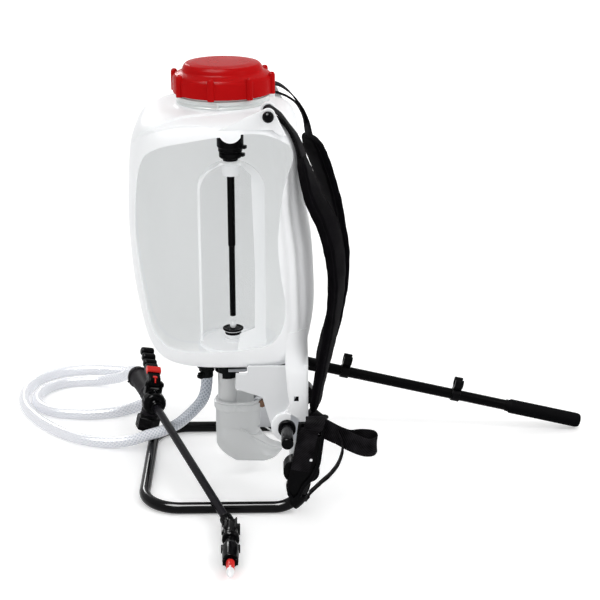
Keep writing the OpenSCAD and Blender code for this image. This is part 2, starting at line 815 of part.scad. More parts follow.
// The clip of a strap hook: a C round the frame's bend, open towards the outside
module bend_clip() {
    translate([rise_x, 0, frame_r + rise_r]) rotate([90, 0, 0]) rotate([0, 0, -55]) rotate_extrude(angle = 26)
        polygon([
            [27.5, hook_y + hook_t], [32.2, hook_y + hook_t], [32.2, 117.2], [47.8, 117.2],
            [47.8, 131], [51.4, 131], [51.4, 113.5], [27.5, 113.5],
        ]);
}
module near_hook() {
    color("Black") {
        difference() {
            plate_y(-hook_y - hook_t, -hook_y) polygon([
                [91, 131], [124, 131], [121, 107], [117, 72], [109, 54], [99, 42], [93, 28],
                [84, 22], [77, 32], [75, 45], [79, 60], [84, 85], [88, 107],
            ]);
            plate_y(-hook_y - hook_t - 1, -hook_y - 3) polygon([
                [94, 110], [118, 110], [113, 74], [105, 57], [95, 45], [90, 33], [85, 28],
                [80, 35], [79, 46], [83, 61], [88, 85],
            ]);
            plate_y(-hook_y - hook_t - 1, -hook_y + 1) polygon([[94, 113], [119, 113], [120, 121], [95, 121]]);
        }
        bend_clip();
    }
}
module far_hook() {
    color("Black") mirror([0, 1, 0]) bend_clip();
}

// The strap's loose loop beside the near hook, and its tail down to the frame
module web_tail() {
    color("Black") {
        webbing([
            [121, -122, 120.5, 0], [131, -122, 122.5, 0], [146, -122, 118, 0], [160, -122, 107, 0],
            [176, -122, 110, 0], [188, -122, 110, 0], [194, -122, 100, 0], [191, -122, 85, 0],
            [179, -122, 78, 0], [164, -122, 82, 0], [146, -122, 90, 0], [130, -122, 101, 0], [121, -122, 108, 0],
        ], 2);
        webbing([
            [146, -122, 90, 0], [143, -122, 75, 0], [133, -121, 54.5, 0], [121, -119, 39.5, 0],
            for (a = [25, 31, 37]) [rise_x + 52.4 * cos(a), -118, 47.5 - 52.4 * sin(a), 0],
        ], 3);
    }
}

module hose() {
    color("GhostWhite") tube_along(sampled(hose_route, 2), hose_r, 10);
}

// The gun's own frame: X back along its body, Z up through its trigger, from the middle of the front nut
module on_gun() {
    translate(gun_at) rotate([gun_lean, 0, gun_heading]) children();
}

module along_x(r, x1, x2) {
    translate([x1, 0, 0]) rotate([0, 90, 0]) cylinder(r = r, h = x2 - x1);
}

// A turned piece along X: pairs of place and radius
module spindle(profile) {
    rotate([0, 90, 0]) rotate_extrude()
        polygon([[0, profile[0][0]], for (q = profile) [q[1], q[0]], [0, profile[len(profile) - 1][0]]]);
}

trigger_x = 14;
trigger_z = 21.4;
trigger_slope = 20;
stem_x = 40;
module gun_body() {
    color("DarkSlateGray") on_gun() difference() {
        union() {
            spindle([[8, 11.5], [40, 11.5], [70, 12.6], [92, 14]]);
            translate([8, 0, -20]) cylinder(r = 12.4, h = 22);
            translate([8, -12, 6]) cube([12, 24, 5.5]);
            for (y = [-12, 8.8]) translate([trigger_x - 5, y, 8]) cube([9.5, 3.2, 18]);
            translate([stem_x, 0, 5]) cylinder(r = 5, h = 10);
        }
        translate([trigger_x, 0, trigger_z]) pin_y(2, -20, 20);
        translate([stem_x, 0, -4]) cylinder(r = 2.56, h = 30);
        spindle([[-20, 16.5], [8, 16.5]]);
    }
}

module hose_nut() {
    color("DarkSlateGray") on_gun() difference() {
        spindle([
            [92, 14], [94, 14], [94, 16.2], [99, 16.2], [99, 14.6], [gun_length - 2, 14], [gun_length, 12],
        ]);
        along_x(hose_r, gun_length - 11.5, gun_length + 10);
    }
}

module on_trigger() {
    on_gun() translate([trigger_x, 0, trigger_z]) rotate([0, -trigger_slope, 0]) children();
}

module trigger_lever() {
    color("Black") on_trigger() difference() {
        union() {
            plate_y(-8.5, 8.5) {
                circle(r = 5);
                polygon([
                    [-2, -4.6], [30, -4], [71.5, -3], [75.5, 0], [75.5, 3], [39.5, 3.5], [35.5, 9], [8, 9], [-2, 4.6],
                ]);
            }
            for (x = [44.5, 57.5, 70.5]) translate([x, 0, 1.5]) pin_y(5.5, -8.5, 8.5);
        }
        pin_y(2.06, -10, 10);
        plate_y(-5, 5) polygon([[41.5, -8], [67.5, -8], [67.5, -0.5], [41.5, -0.5]]);
    }
}

module trigger_pin() {
    color("Silver") on_gun() translate([trigger_x, 0, trigger_z]) {
        pin_y(2, -12, 12);
        pin_y(3.2, -13.5, -12);
        pin_y(3.2, 12, 13.5);
    }
}

module trigger_lock() {
    color("Red") on_trigger() {
        plate_y(-10, 10) polygon([
            [15.5, 9.05], [26.5, 9.05], [26.5, 12.5], [22.5, 14.5], [17.5, 14], [15.5, 12],
        ]);
        for (y = [-10, 8.8]) translate([15.5, y, 5]) cube([11, 1.2, 5]);
    }
}

// The pin that the trigger pushes into the valve
module valve_stem() {
    color("Silver") on_gun() translate([stem_x, 0, 4]) cylinder(r = 2.5, h = 21.2);
}

module valve_cap() {
    color("DarkSlateGray") on_gun() translate([8, 0, 0]) {
        translate([0, 0, -24]) cylinder(r = 13.2, h = 4);
        translate([0, 0, -43.5]) cylinder(r = 16.5, h = 19.5, $fn = 6);
    }
}

module on_wand() {
    translate(gun_at) rotate([0, wand_slope, wand_heading]) children();
}

module wand_nut() {
    color("Black") difference() {
        union() {
            on_gun() spindle([[-12, 12], [-11, 15], [-8, 16.5], [6, 16.5], [8, 15]]);
            on_wand() spindle([[0, 10], [19, 10], [21, 8.6], [26, 8.2]]);
        }
        on_wand() along_x(wand_r, 6, 40);
    }
}

module wand_tube() {
    color("DimGray") on_wand() difference() {
        along_x(wand_r, 6, wand_length);
        along_x(wand_r - 1.2, 5, wand_length + 1);
    }
}

// The nozzle lies along -Y on the floor, turned from the wand by an elbow
module on_nozzle() {
    translate(nozzle_at) rotate([0, 0.6, -89.2]) children();
}

module nozzle_elbow() {
    color("Black") difference() {
        union() {
            on_wand() {
                spindle([
                    [wand_length - 9, 7.6], [wand_length - 7, 8.3], [wand_length + 11, 8.3], [wand_length + 16, 7],
                ]);
                along_x(6.6, wand_length + 10, wand_length + 26);
            }
            translate(nozzle_at) sphere(r = 7.4);
            on_nozzle() {
                spindle([[0, 7], [8, 7.6], [24, 9.4], [24, 10.8], [33, 10.8], [33, 8.2], [36, 8.2]]);
                for (a = [45:90:315]) rotate([a, 0, 0]) translate([-2, -1, 4]) cube([18, 2, 6]);
            }
        }
        on_wand() along_x(wand_r, wand_length - 20, wand_length);
    }
}

module nozzle_nut() {
    color("Black") on_nozzle() spindle([[36, 8.2], [45, 8.2], [45, 5.6], [92, 5.6]]);
}

module nozzle_cap() {
    color("Black") on_nozzle() difference() {
        union() {
            spindle([[45.3, 8.4], [49, 10.4], [52, 11], [92, 11]]);
            for (a = [0, 180]) rotate([a, 0, 0]) translate([50, -3, 8]) cube([16, 6, 3.6]);
        }
        along_x(5.66, 40, 100);
        plate_y(-20, 20) polygon([[84, -6.5], [100, -6.5], [100, 6.5], [84, 6.5]]);
    }
}

module nozzle_tip() {
    color("Red") on_nozzle() spindle([[92, 5.6], [107, 5.6], [114, 4.4], [123, 2.6], [125, 0.8]]);
}

tank_shell();
filler_neck();
skirt_panel();
lid();
lid_gasket();
filler_strainer();
strap_pins();
pressure_vessel();
vessel_bushing();
lock_ring();
relief_valve();
dip_tube();
valve_seat();
seat_ring();
valve_disc();
valve_knob();
pump_head();
head_tab();
outlet_elbow();
hose_clamp();
piston_tube();
piston_seal();
pump_cylinder();
slot_bracket();
inlet_ball();
crank_arm();
crank_pin();
pump_shaft();
shaft_bushings();
shaft_cap();
lever_hub();
lever_tube();
lever_grip();
lance_clips();
base_frame();
frame_brackets();
near_pad();
far_pad();
near_upper_web();
far_upper_web();
near_lower_web();
far_lower_web();
near_hook();
far_hook();
web_tail();
hose();
hose_nut();
gun_body();
trigger_lever();
trigger_pin();
trigger_lock();
valve_stem();
valve_cap();
wand_nut();
wand_tube();
nozzle_elbow();
nozzle_nut();
nozzle_cap();
nozzle_tip();
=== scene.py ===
"""Looks of a cut-open backpack sprayer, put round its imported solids.
Lengths are in millimetres until a mesh is made."""

import json
import math

import bmesh
import bpy
import numpy as np
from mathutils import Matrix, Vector


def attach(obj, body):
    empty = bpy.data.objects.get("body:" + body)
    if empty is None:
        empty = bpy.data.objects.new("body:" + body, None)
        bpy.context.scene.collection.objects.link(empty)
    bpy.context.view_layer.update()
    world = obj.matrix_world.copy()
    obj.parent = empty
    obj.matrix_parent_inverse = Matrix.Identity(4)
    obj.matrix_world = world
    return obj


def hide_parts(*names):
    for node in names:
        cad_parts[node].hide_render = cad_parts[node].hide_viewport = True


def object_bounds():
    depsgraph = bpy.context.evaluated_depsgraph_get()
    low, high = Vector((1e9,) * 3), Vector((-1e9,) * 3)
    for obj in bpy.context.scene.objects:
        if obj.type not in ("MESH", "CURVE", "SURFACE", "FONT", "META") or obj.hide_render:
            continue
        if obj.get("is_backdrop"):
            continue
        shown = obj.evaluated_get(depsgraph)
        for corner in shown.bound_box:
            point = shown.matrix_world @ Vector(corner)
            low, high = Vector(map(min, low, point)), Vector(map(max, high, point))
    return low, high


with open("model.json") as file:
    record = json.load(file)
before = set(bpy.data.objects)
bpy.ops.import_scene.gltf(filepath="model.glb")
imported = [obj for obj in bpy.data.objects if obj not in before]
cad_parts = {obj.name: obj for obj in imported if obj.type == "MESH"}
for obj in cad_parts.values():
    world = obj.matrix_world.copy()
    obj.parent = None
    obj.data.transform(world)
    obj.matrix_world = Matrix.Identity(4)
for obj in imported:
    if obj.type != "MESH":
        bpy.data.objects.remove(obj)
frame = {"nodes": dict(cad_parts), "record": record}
solids = frame["nodes"]
cad_box = [list(corner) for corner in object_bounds()]

# Studio: a white floor under soft light from above, seen from the near side as in the photograph.
# The floor is white to the camera and keeps the object's shadow, and the sky lights it evenly.
# Three lamps light the object, and two soft boxes show in its gloss alone.
scene = bpy.context.scene
scene.view_settings.view_transform = "Standard"


def aim(thing, place, gaze):
    """Puts a camera or a lamp in its place, looking along a direction."""
    thing.location = place
    thing.rotation_mode = "QUATERNION"
    thing.rotation_quaternion = gaze.to_track_quat("-Z", "Y")
    scene.collection.objects.link(thing)


pitch, swing, camera_at = math.radians(19.56), math.radians(1.3), (0.0552, -1.8017, 0.885)
level_gaze = math.cos(pitch)
camera = bpy.data.objects.new("camera", bpy.data.cameras.new("camera"))
camera.data.lens, camera.data.sensor_width, camera.data.clip_end = 87.6, 36.0, 40.0
gaze = Vector((math.sin(swing) * level_gaze, math.cos(swing) * level_gaze, -math.sin(pitch)))
aim(camera, camera_at, gaze)
scene.camera = camera


def plug(tree, node, **inputs):
    """Gives a node's sockets, called by name or as i0, i1 by place, a value or a socket to link."""
    for key, value in inputs.items():
        by_place = key[0] == "i" and key[1:].isdigit()
        socket = node.inputs[int(key[1:]) if by_place else key.replace("_", " ")]
        if isinstance(value, bpy.types.NodeSocket):
            tree.links.new(value, socket)
        else:
            socket.default_value = value


def add(tree, kind, props=None, **inputs):
    """A new node of that kind, with its properties set and its inputs plugged."""
    made = tree.nodes.new(kind)
    for key, value in (props or {}).items():
        setattr(made, key, value)
    plug(tree, made, **inputs)
    return made


def maths(tree, operation, *values):
    """The output of a math node on one, two or three values or sockets."""
    sockets = {f"i{k}": value for k, value in enumerate(values)}
    return add(tree, "ShaderNodeMath", {"operation": operation}, **sockets).outputs[0]


def ranged(tree, value, *limits):
    """A value carried from one range to another: the old range's two ends, then the new one's."""
    ends = dict(zip(("From_Min", "From_Max", "To_Min", "To_Max"), limits))
    return add(tree, "ShaderNodeMapRange", Value=value, **ends).outputs[0]


def blended(tree, share, first, second, **props):
    """The colour that lies between two colours by a share."""
    props = {"data_type": "RGBA", **props}
    return add(tree, "ShaderNodeMix", props, i0=share, i6=first, i7=second).outputs[2]


def seen_directly(tree):
    """1 for rays from the camera or through gloss and clear pieces, and 0 for the light on the object."""
    path = add(tree, "ShaderNodeLightPath").outputs
    mirrored = maths(tree, "MAXIMUM", path["Is Glossy Ray"], path["Is Transmission Ray"])
    return maths(tree, "MAXIMUM", path["Is Camera Ray"], mirrored)


def new_finish(name):
    """A new material, its node tree and its shader."""
    made = bpy.data.materials.new(name)
    made.use_nodes = True
    return made, made.node_tree, made.node_tree.nodes["Principled BSDF"]


sky_shade = 0.76
scene.world = bpy.data.worlds.new("studio_sky")
scene.world.use_nodes = True
air = scene.world.node_tree
air.nodes.clear()
sky_light = maths(air, "MULTIPLY_ADD", seen_directly(air), 1 - sky_shade, sky_shade)
sky_back = add(air, "ShaderNodeBackground", Color=(1, 1, 1, 1), Strength=sky_light)
add(air, "ShaderNodeOutputWorld", Surface=sky_back.outputs[0])
lit_point = Vector((0, 0, 0.25))
for lamp_name, place, size, power, shine_only in (
    ("key_lamp", (-1.3, -2.1, 2.6), 0.5, 8.0, False),
    ("fill_lamp", (1.9, -0.9, 1.9), 0.5, 13.0, False),
    ("rim_lamp", (0.3, 1.9, 2.3), 0.8, 7.0, False),
    ("soft_box", (-0.6, -0.7, 2.6), 1.4, 460.0, True),
    ("back_box", (-1.0, 2.8, 1.5), 0.6, 26.0, True),
):
    lamp = bpy.data.objects.new(lamp_name, bpy.data.lights.new(lamp_name, "AREA"))
    lamp.data.size, lamp.data.energy, lamp.visible_diffuse = size, power, not shine_only
    aim(lamp, place, lit_point - Vector(place))
floor_reach = 14.0
floor_mesh = bpy.data.meshes.new("floor")
floor_corners = np.array([[-1, -1, 0], [1, -1, 0], [1, 1, 0], [-1, 1, 0]]) * floor_reach
floor_mesh.from_pydata(floor_corners.tolist(), [], [(0, 1, 2, 3)])
floor = bpy.data.objects.new("floor", floor_mesh)
scene.collection.objects.link(floor)
floor_paint, tree, _ = new_finish("studio_floor")
tree.nodes.clear()
matt = add(tree, "ShaderNodeBsdfDiffuse", Color=(0.93, 0.93, 0.93, 1))
place_on = add(tree, "ShaderNodeTexCoord").outputs["Object"]
away = add(tree, "ShaderNodeVectorMath", {"operation": "LENGTH"}, i0=place_on).outputs["Value"]
lift = maths(tree, "MULTIPLY", seen_directly(tree), ranged(tree, away, 0.5, 2.4, 0.3, 0.6))
glow = add(tree, "ShaderNodeEmission", Color=(1, 1, 1, 1), Strength=lift)
both = add(tree, "ShaderNodeAddShader", i0=matt.outputs[0], i1=glow.outputs[0])
add(tree, "ShaderNodeOutputMaterial", Surface=both.outputs[0])
floor_mesh.materials.append(floor_paint)
floor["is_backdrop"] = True

# Hose: a clear PVC hose with a white braid between its two walls. It leaves the elbow under the tank,
# lies in a loose loop on the floor and rises into the nut at the back of the gun.
mm = 0.001
hose_r, hose_sides, braid_threads, braid_pitch = 7.75, 40, 9, 0.0064
hose_route = [
    [-28, 0, 147], [-28, 0, 139], [-28.2, 0.3, 131], [-29, 1.3, 123], [-30.4, 3.1, 115], [-32.6, 5.8, 107],
    [-35.7, 9.5, 99], [-40, 14.4, 91], [-46, 20.4, 82], [-53, 27, 72], [-71, 43, 50], [-92, 56, 34],
    [-114, 63, 24], [-139, 67, 14], [-166, 71, 9], [-196, 79, 8], [-226, 95, 8], [-254, 120, 8],
    [-280, 152, 8], [-301, 188, 8], [-313, 225, 8], [-315, 264, 8], [-303, 304, 8], [-273, 334, 8],
    [-232, 345, 8], [-198, 342, 8], [-162, 331, 8], [-131, 300, 8], [-119, 257, 8], [-131, 214, 8],
    [-162, 183, 8], [-202, 172, 8], [-232, 173.5, 8], [-257, 179.5, 8], [-277, 192.5, 8], [-290, 212, 8],
    [-295, 236, 8], [-290, 260, 8], [-277, 280, 8], [-257, 293.5, 8], [-229, 299, 8], [-206, 296.5, 9.8],
    [-187, 287.5, 15.5], [-172, 274, 24], [-160.5, 256.5, 36.5], [-153, 236, 50], [-147.5, 219, 58],
    [-143.6, 206.4, 61], [-140.2, 195.2, 61.5], [-136.2, 182.3, 61.5],
]


def spline(points, per):
    """A smooth curve through points; a span's cubic has end slopes of half the neighbours' difference."""
    p = np.asarray(points, float)
    u = np.linspace(0, len(p) - 1, (len(p) - 1) * per + 1)
    i = np.minimum(u.astype(int), len(p) - 2)
    t = (u - i)[:, None]
    a, b, c, d = p[np.maximum(i - 1, 0)], p[i], p[i + 1], p[np.minimum(i + 2, len(p) - 1)]
    return b + 0.5 * t * ((c - a) + t * ((2 * a - 5 * b + 4 * c - d) + t * (3 * (b - c) + d - a)))


def unit(v):
    """The vectors at length one."""
    return v / np.linalg.norm(v, axis=-1, keepdims=True)


def run_along(path):
    """The distance from a path's start to each of its points."""
    return np.r_[0, np.cumsum(np.linalg.norm(np.diff(path, axis=0), axis=1))]


def carried(path):
    """Normals and cross-normals along a path; each normal is the last one squared off to the direction."""
    along = unit(np.gradient(path, axis=0))
    normals = np.zeros_like(along)
    last = np.array([1.0, 0.3, 0.2])
    for k, t in enumerate(along):
        last = unit(last - (last @ t) * t)
        normals[k] = last
    return normals, np.cross(along, normals)


def round_angles(count):
    """Even angles round a circle, its start not repeated."""
    return np.linspace(0, 2 * np.pi, count, endpoint=False)


def tube(path, radius, sides):
    """Rings of a round tube: the path plus radius times cosine on the normal and sine on the cross-normal."""
    n, b = carried(path)
    a = round_angles(sides)[None, :, None]
    r = np.broadcast_to(np.asarray(radius, float), (len(path),))[:, None, None]
    return path[:, None] + r * (np.cos(a) * n[:, None] + np.sin(a) * b[:, None])


def settle(name, mesh, sharp=38.0):
    """A mesh's object: doubles merged, faces turned outwards, edges over an angle left crisp."""
    work = bmesh.new()
    work.from_mesh(mesh)
    bmesh.ops.remove_doubles(work, verts=work.verts, dist=1e-6)
    bmesh.ops.dissolve_degenerate(work, edges=work.edges, dist=1e-7)
    bmesh.ops.recalc_face_normals(work, faces=work.faces)
    work.to_mesh(mesh)
    work.free()
    mesh.shade_smooth()
    mesh.set_sharp_from_angle(angle=math.radians(sharp))
    made = bpy.data.objects.new(name, mesh)
    scene.collection.objects.link(made)
    return made


def skin(name, grids, caps=True, lengths=None, sharp=38.0):
    """One mesh of grids of rings. A face joins two neighbours on a ring to the same two on the next, and ends
    get caps. lengths gives a grid its distances along and round, for the map that patterns follow."""
    points, faces, coords, start = [], [], [], 0
    for k, grid in enumerate(grids):
        rows, columns = grid.shape[:2]
        i, j = (f.ravel() for f in np.meshgrid(np.arange(rows - 1), np.arange(columns), indexing="ij"))
        row, column = np.stack([i, i, i + 1, i + 1], -1), np.stack([j, j + 1, j + 1, j], -1)
        points.append(grid.reshape(-1, 3) * mm)
        faces += (row * columns + column % columns + start).tolist()
        down, around = lengths[k] if lengths else (np.arange(rows), np.arange(columns + 1))
        coords.append(np.stack([around[column], down[row]], -1).reshape(-1, 2) * mm)
        if caps:
            last = start + (rows - 1) * columns
            faces += [list(range(end, end + columns)) for end in (start, last)]
            coords.append(np.zeros((2 * columns, 2)))
        start += rows * columns
    mesh = bpy.data.meshes.new(name)
    mesh.from_pydata(np.concatenate(points).tolist(), [], faces)
    layer = mesh.uv_layers.new(name="along")
    layer.data.foreach_set("uv", np.concatenate(coords).astype(np.float32).ravel())
    return settle(name, mesh, sharp)


def fit(piece, material, slot, *replaced, body="sprayer"):
    """Gives a piece its material, hides the solids that it stands for and sets it on the body that it rides
    on; slot is not used.
    """
    piece.data.materials.clear()
    piece.data.materials.append(material)
    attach(piece, body)
    if replaced:
        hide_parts(*replaced)
    return piece


hose_path = spline(hose_route, 8)
hose_run = run_along(hose_path)
hose_girth = np.linspace(0, 2 * np.pi * hose_r, hose_sides + 1)
braided_hose = skin("braided_hose", [tube(hose_path, hose_r, hose_sides)], lengths=[(hose_run, hose_girth)])
hose_wall, tree, shader = new_finish("braided_hose_wall")
around, along, _ = add(tree, "ShaderNodeSeparateXYZ", Vector=add(tree, "ShaderNodeUVMap").outputs[0]).outputs
turns = maths(tree, "MULTIPLY", around, braid_threads / (hose_r * mm))
steps = maths(tree, "MULTIPLY", along, 2 * math.pi / braid_pitch)
threads = []
for sign in ("ADD", "SUBTRACT"):
    wound = maths(tree, "MULTIPLY", maths(tree, sign, turns, steps), 0.5)
    threads.append(maths(tree, "ABSOLUTE", maths(tree, "SINE", wound)))
open_mesh = ranged(tree, maths(tree, "SMOOTH_MIN", *threads, 0.1), 0.32, 0.7, 0.0, 1.0)
place_on = add(tree, "ShaderNodeTexCoord").outputs["Object"]
hose_x = add(tree, "ShaderNodeSeparateXYZ", Vector=place_on).outputs[0]
# Towards the elbow, under the tank, threads and gaps are painted greyer and darker: painted shade. The
# braid's gaps also show more strongly there.
contrast = ranged(tree, hose_x, -0.23, -0.06, 0.1, 1.0)
elbow_painted_shade = ranged(tree, hose_x, -0.1, -0.045, 0.0, 1.0)
threads_light = blended(tree, elbow_painted_shade, (0.8, 0.81, 0.85, 1), (0.36, 0.4, 0.46, 1))
gaps_dark = blended(tree, elbow_painted_shade, (0.42, 0.46, 0.53, 1), (0.16, 0.19, 0.23, 1))
hose_colour = blended(tree, maths(tree, "MULTIPLY", open_mesh, contrast), threads_light, gaps_dark)
hose_bump = add(tree, "ShaderNodeBump", {"invert": True}, Strength=0.3, Distance=0.0005, Height=open_mesh)
# A painted glow of 0.1 stands in for daylight through the clear wall and white braid.
plug(
    tree, shader, Base_Color=hose_colour, Normal=hose_bump.outputs[0], Roughness=0.2, Coat_Weight=0.3,
    Emission_Color=(0.93, 0.95, 1, 1), Emission_Strength=0.1,
)
fit(braided_hose, hose_wall, "hose_plastic", "hose")

# Stand: one round steel tube bent into a U on the floor, its two ends turned up on the wearer's side.
# It is painted in gloss black; the brackets and the lower ends of the straps hold on to it.
frame_r, frame_y, frame_x, corner_r = 7.5, 125.0, -109.0, 50.0
rise_x, rise_r, rise_top = 60.0, 40.0, 90.0


def arc(centre, radius, start, end, steps):
    """Points on a circle in a plane, from one angle to another in degrees."""
    a = np.radians(np.linspace(start, end, steps))
    return np.stack([centre[0] + radius * np.cos(a), centre[1] + radius * np.sin(a)], -1)


def form(name, grids, material, slot, *replaced, body="sprayer", **how):
    """A skinned piece, fitted."""
    return fit(skin(name, grids, **how), material, slot, *replaced, body=body)


def group(name, inputs, outputs):
    """An empty shader group with those named sockets, its inputs and its output node."""
    made = bpy.data.node_groups.new(name, "ShaderNodeTree")
    kinds = {"value": "NodeSocketFloat", "colour": "NodeSocketColor", "vector": "NodeSocketVector"}
    for way, sockets in (("INPUT", inputs), ("OUTPUT", outputs)):
        for title, kind in sockets.items():
            made.interface.new_socket(title, in_out=way, socket_type=kinds[kind])
    return made, add(made, "NodeGroupInput").outputs, add(made, "NodeGroupOutput")


# Fine pits and a slow mottle, as on moulded plastic, paint and rubber
moulded_grain, given, wanted = group(
    "moulded_grain",
    {"Colour": "colour", "Shade": "value", "Scale": "value", "Roughness": "value", "Spread": "value"},
    {"Colour": "colour", "Roughness": "value", "Height": "value"},
)
place_on = add(moulded_grain, "ShaderNodeTexCoord").outputs["Object"]
pits = add(moulded_grain, "ShaderNodeTexNoise", Vector=place_on, Scale=given["Scale"], Detail=3.0).outputs[0]
slow = maths(moulded_grain, "MULTIPLY", given["Scale"], 0.045)
mottle = add(moulded_grain, "ShaderNodeTexNoise", Vector=place_on, Scale=slow, Detail=2.0).outputs[0]
shaded = maths(moulded_grain, "MULTIPLY", mottle, given["Shade"])
tinted = blended(moulded_grain, shaded, given["Colour"], (0.45, 0.45, 0.47, 1), blend_type="MULTIPLY")
offset = maths(moulded_grain, "SUBTRACT", mottle, 0.5)
uneven = maths(moulded_grain, "MULTIPLY_ADD", offset, given["Spread"], given["Roughness"])
plug(moulded_grain, wanted, Colour=tinted, Roughness=uneven, Height=pits)


def moulded(name, colour, roughness, shade, scale, spread, depth, specular=0.5, glow=None, **sockets):
    """A plastic, paint or rubber finish: a colour with mottle, uneven gloss and fine pits. glow is the colour
    and strength of a painted glow that stands in for the daylight a wall lets through; other sockets go to
    the shader."""
    made, tree, shader = new_finish(name)
    grain = add(
        tree, "ShaderNodeGroup", {"node_tree": moulded_grain},
        Colour=(*colour, 1), Shade=shade, Scale=scale, Roughness=roughness, Spread=spread,
    ).outputs
    bump = add(tree, "ShaderNodeBump", Strength=depth * 5, Distance=0.0003, Height=grain["Height"])
    if glow:
        sockets.update(Emission_Color=(*glow[:3], 1), Emission_Strength=glow[3])
    plug(
        tree, shader, Base_Color=grain["Colour"], Roughness=grain["Roughness"], Normal=bump.outputs[0],
        Specular_IOR_Level=specular, **sockets,
    )
    return made


bend_xz = arc((rise_x, rise_r + frame_r), rise_r, 0, -90, 22)
side_run = np.insert(bend_xz, 1, -frame_y, axis=1)
corner_xy = arc((frame_x + corner_r, -frame_y + corner_r), corner_r, 270, 180, 26)
corner_run = np.insert(corner_xy, 2, frame_r, axis=1)
half = np.concatenate([
    np.linspace([rise_x + rise_r, -frame_y, rise_top], [rise_x + rise_r, -frame_y, rise_r + frame_r], 6)[:-1],
    side_run,
    np.linspace(side_run[-1], corner_run[0], 10)[1:-1],
    corner_run,
])
other_half = half[::-1] * [1, -1, 1]
frame_path = np.concatenate([half, np.linspace(half[-1], other_half[0], 12)[1:-1], other_half])
gloss_black = moulded("gloss_black_paint", (0.002, 0.002, 0.0025), 0.13, 0.3, 500.0, 0.08, 0.012, 0.1)
form("tube_stand", [tube(frame_path, frame_r, 40)], gloss_black, "black_tube", "base_frame")

# Tank: a blow-moulded shell of white polyethylene, with a window cut in its near wall to show the pump.
# Two flutes run up each corner of its wearer's side, and a neck stands on its domed shoulder.
tank_wall, floor_z, neck_r, neck_top, tank_sides = 4.5, 182.0, 56.0, 541.0, 288
flute_depth, flute_places, flute_width, flute_share = 11.0, (45.5, 52), 2.8, 0.42
hollow_place, hollow_width, hollow_share = 43, 10, 0.3
fade_low, fade_low_run, fade_high, fade_high_run = 205, 70, 492, 90
tongue_x, tongue_z, tongue_r, tongue_span, tongue_half = 11, 495, 14.5, (213.5, 326.5), 12.1
window_head, core_low, core_high, inside_top = 470, 240, 460, 506
# Height, outer face, wearer's face, half width and squareness of each level
tank_rows = np.array([
    [182, -42, 70, 64, 3.4], [183.5, -60, 86, 80, 3.4], [190, -77.5, 97, 94, 4.0], [202, -90, 102, 103, 4.6],
    [224, -100.5, 108, 110, 4.6], [260, -108, 113, 115, 4.6], [300, -114, 112.5, 118, 4.6],
    [345, -117.5, 109.5, 119, 4.6], [385, -118.5, 103, 119, 4.6], [425, -117, 97.5, 118, 4.6],
    [455, -115, 95, 115, 4.6], [477, -111.5, 93, 110, 4.5], [492, -103.5, 88, 102, 4.2],
    [500, -92.5, 80, 92, 3.4], [504, -77, 70, 78, 3.0],
])
window_points = [
    [-98, 452], [-105, 402], [-105, 350], [-97, 286], [-88, 240], [-64, 217], [-10, 214], [40, 219],
    [66, 234], [76, 270], [70, 318], [67, 362], [74, 422], [86, 460], [72, 480.5], [36, 490.5], [-36, 482.5],
    [-80, 472.5],
]


def bell(x, middle, width):
    """A bump of height one: e to the power of minus the squared distance from its middle over its width."""
    return np.exp(-(((x - middle) / width) ** 2))


def tank_rings(levels, inset, heights):
    """Rounded rectangles: radius is the sum of |cos/a|^n and |sin/b|^n to the power -1/n, less two flutes
    and a wide hollow at each corner of the wearer's side, which fade out up and down."""
    middle, a = (levels[:, 1:2] + levels[:, 2:3]) / 2, (levels[:, 2:3] - levels[:, 1:2]) / 2 - inset
    b, n = levels[:, 3:4] - inset, levels[:, 4:5]
    t = round_angles(tank_sides)[None]
    radius = ((np.abs(np.cos(t)) / a) ** n + (np.abs(np.sin(t)) / b) ** n) ** (-1 / n)
    z = levels[:, 0:1]
    depth = flute_depth * np.clip((z - fade_low) / fade_low_run, 0, 1)
    depth = depth * np.clip((fade_high - z) / fade_high_run, 0, 1)
    side = np.degrees(np.minimum(t, 2 * np.pi - t))
    flutes = sum(flute_share * bell(side, at, flute_width) for at in flute_places)
    radius = radius - depth * (hollow_share * bell(side, hollow_place, hollow_width) + flutes)
    up = np.broadcast_to(heights, radius.shape)
    return np.stack([middle + radius * np.cos(t), radius * np.sin(t), up], -1)


def lathe(profile, sides=64, closed=False):
    """Rings turned about Z: circles of the profile's radii at its heights. A closed profile is hollow."""
    p = np.asarray([*profile, profile[0]] if closed else profile, float)
    r, z, a = p[:, 0:1], p[:, 1:2], round_angles(sides)
    return np.stack([r * np.cos(a), r * np.sin(a), z + 0 * a], -1)


def slab(outline, y1, y2):
    """Two rows of an outline of places along X and heights, at the two faces of a plate."""
    return np.stack([np.insert(np.asarray(outline, float), 1, y, axis=1) for y in (y1, y2)])


def prism(name, outline, y1, y2):
    """A closed plate: an outline of places along X and heights, given thickness along Y."""
    mesh = bpy.data.meshes.new(name)
    n = len(outline)
    sides = [(k, (k + 1) % n, n + (k + 1) % n, n + k) for k in range(n)]
    points = slab(outline, y1, y2).reshape(-1, 3) * mm
    mesh.from_pydata(points.tolist(), [], [list(range(n)), list(range(n, 2 * n)), *sides])
    return settle(name, mesh)


def cut_away(piece, *tools):
    """Takes the tools out of a piece, keeps the result as its mesh and removes the tools."""
    for tool in tools:
        cut = piece.modifiers.new("cut", "BOOLEAN")
        cut.operation, cut.solver, cut.object = "DIFFERENCE", "EXACT", tool
    bpy.context.view_layer.update()
    mesh = bpy.data.meshes.new_from_object(piece.evaluated_get(bpy.context.evaluated_depsgraph_get()))
    piece.modifiers.clear()
    piece.data = mesh
    for tool in tools:
        bpy.data.objects.remove(tool)
    mesh.shade_smooth()
    mesh.set_sharp_from_angle(angle=math.radians(40))
    return piece


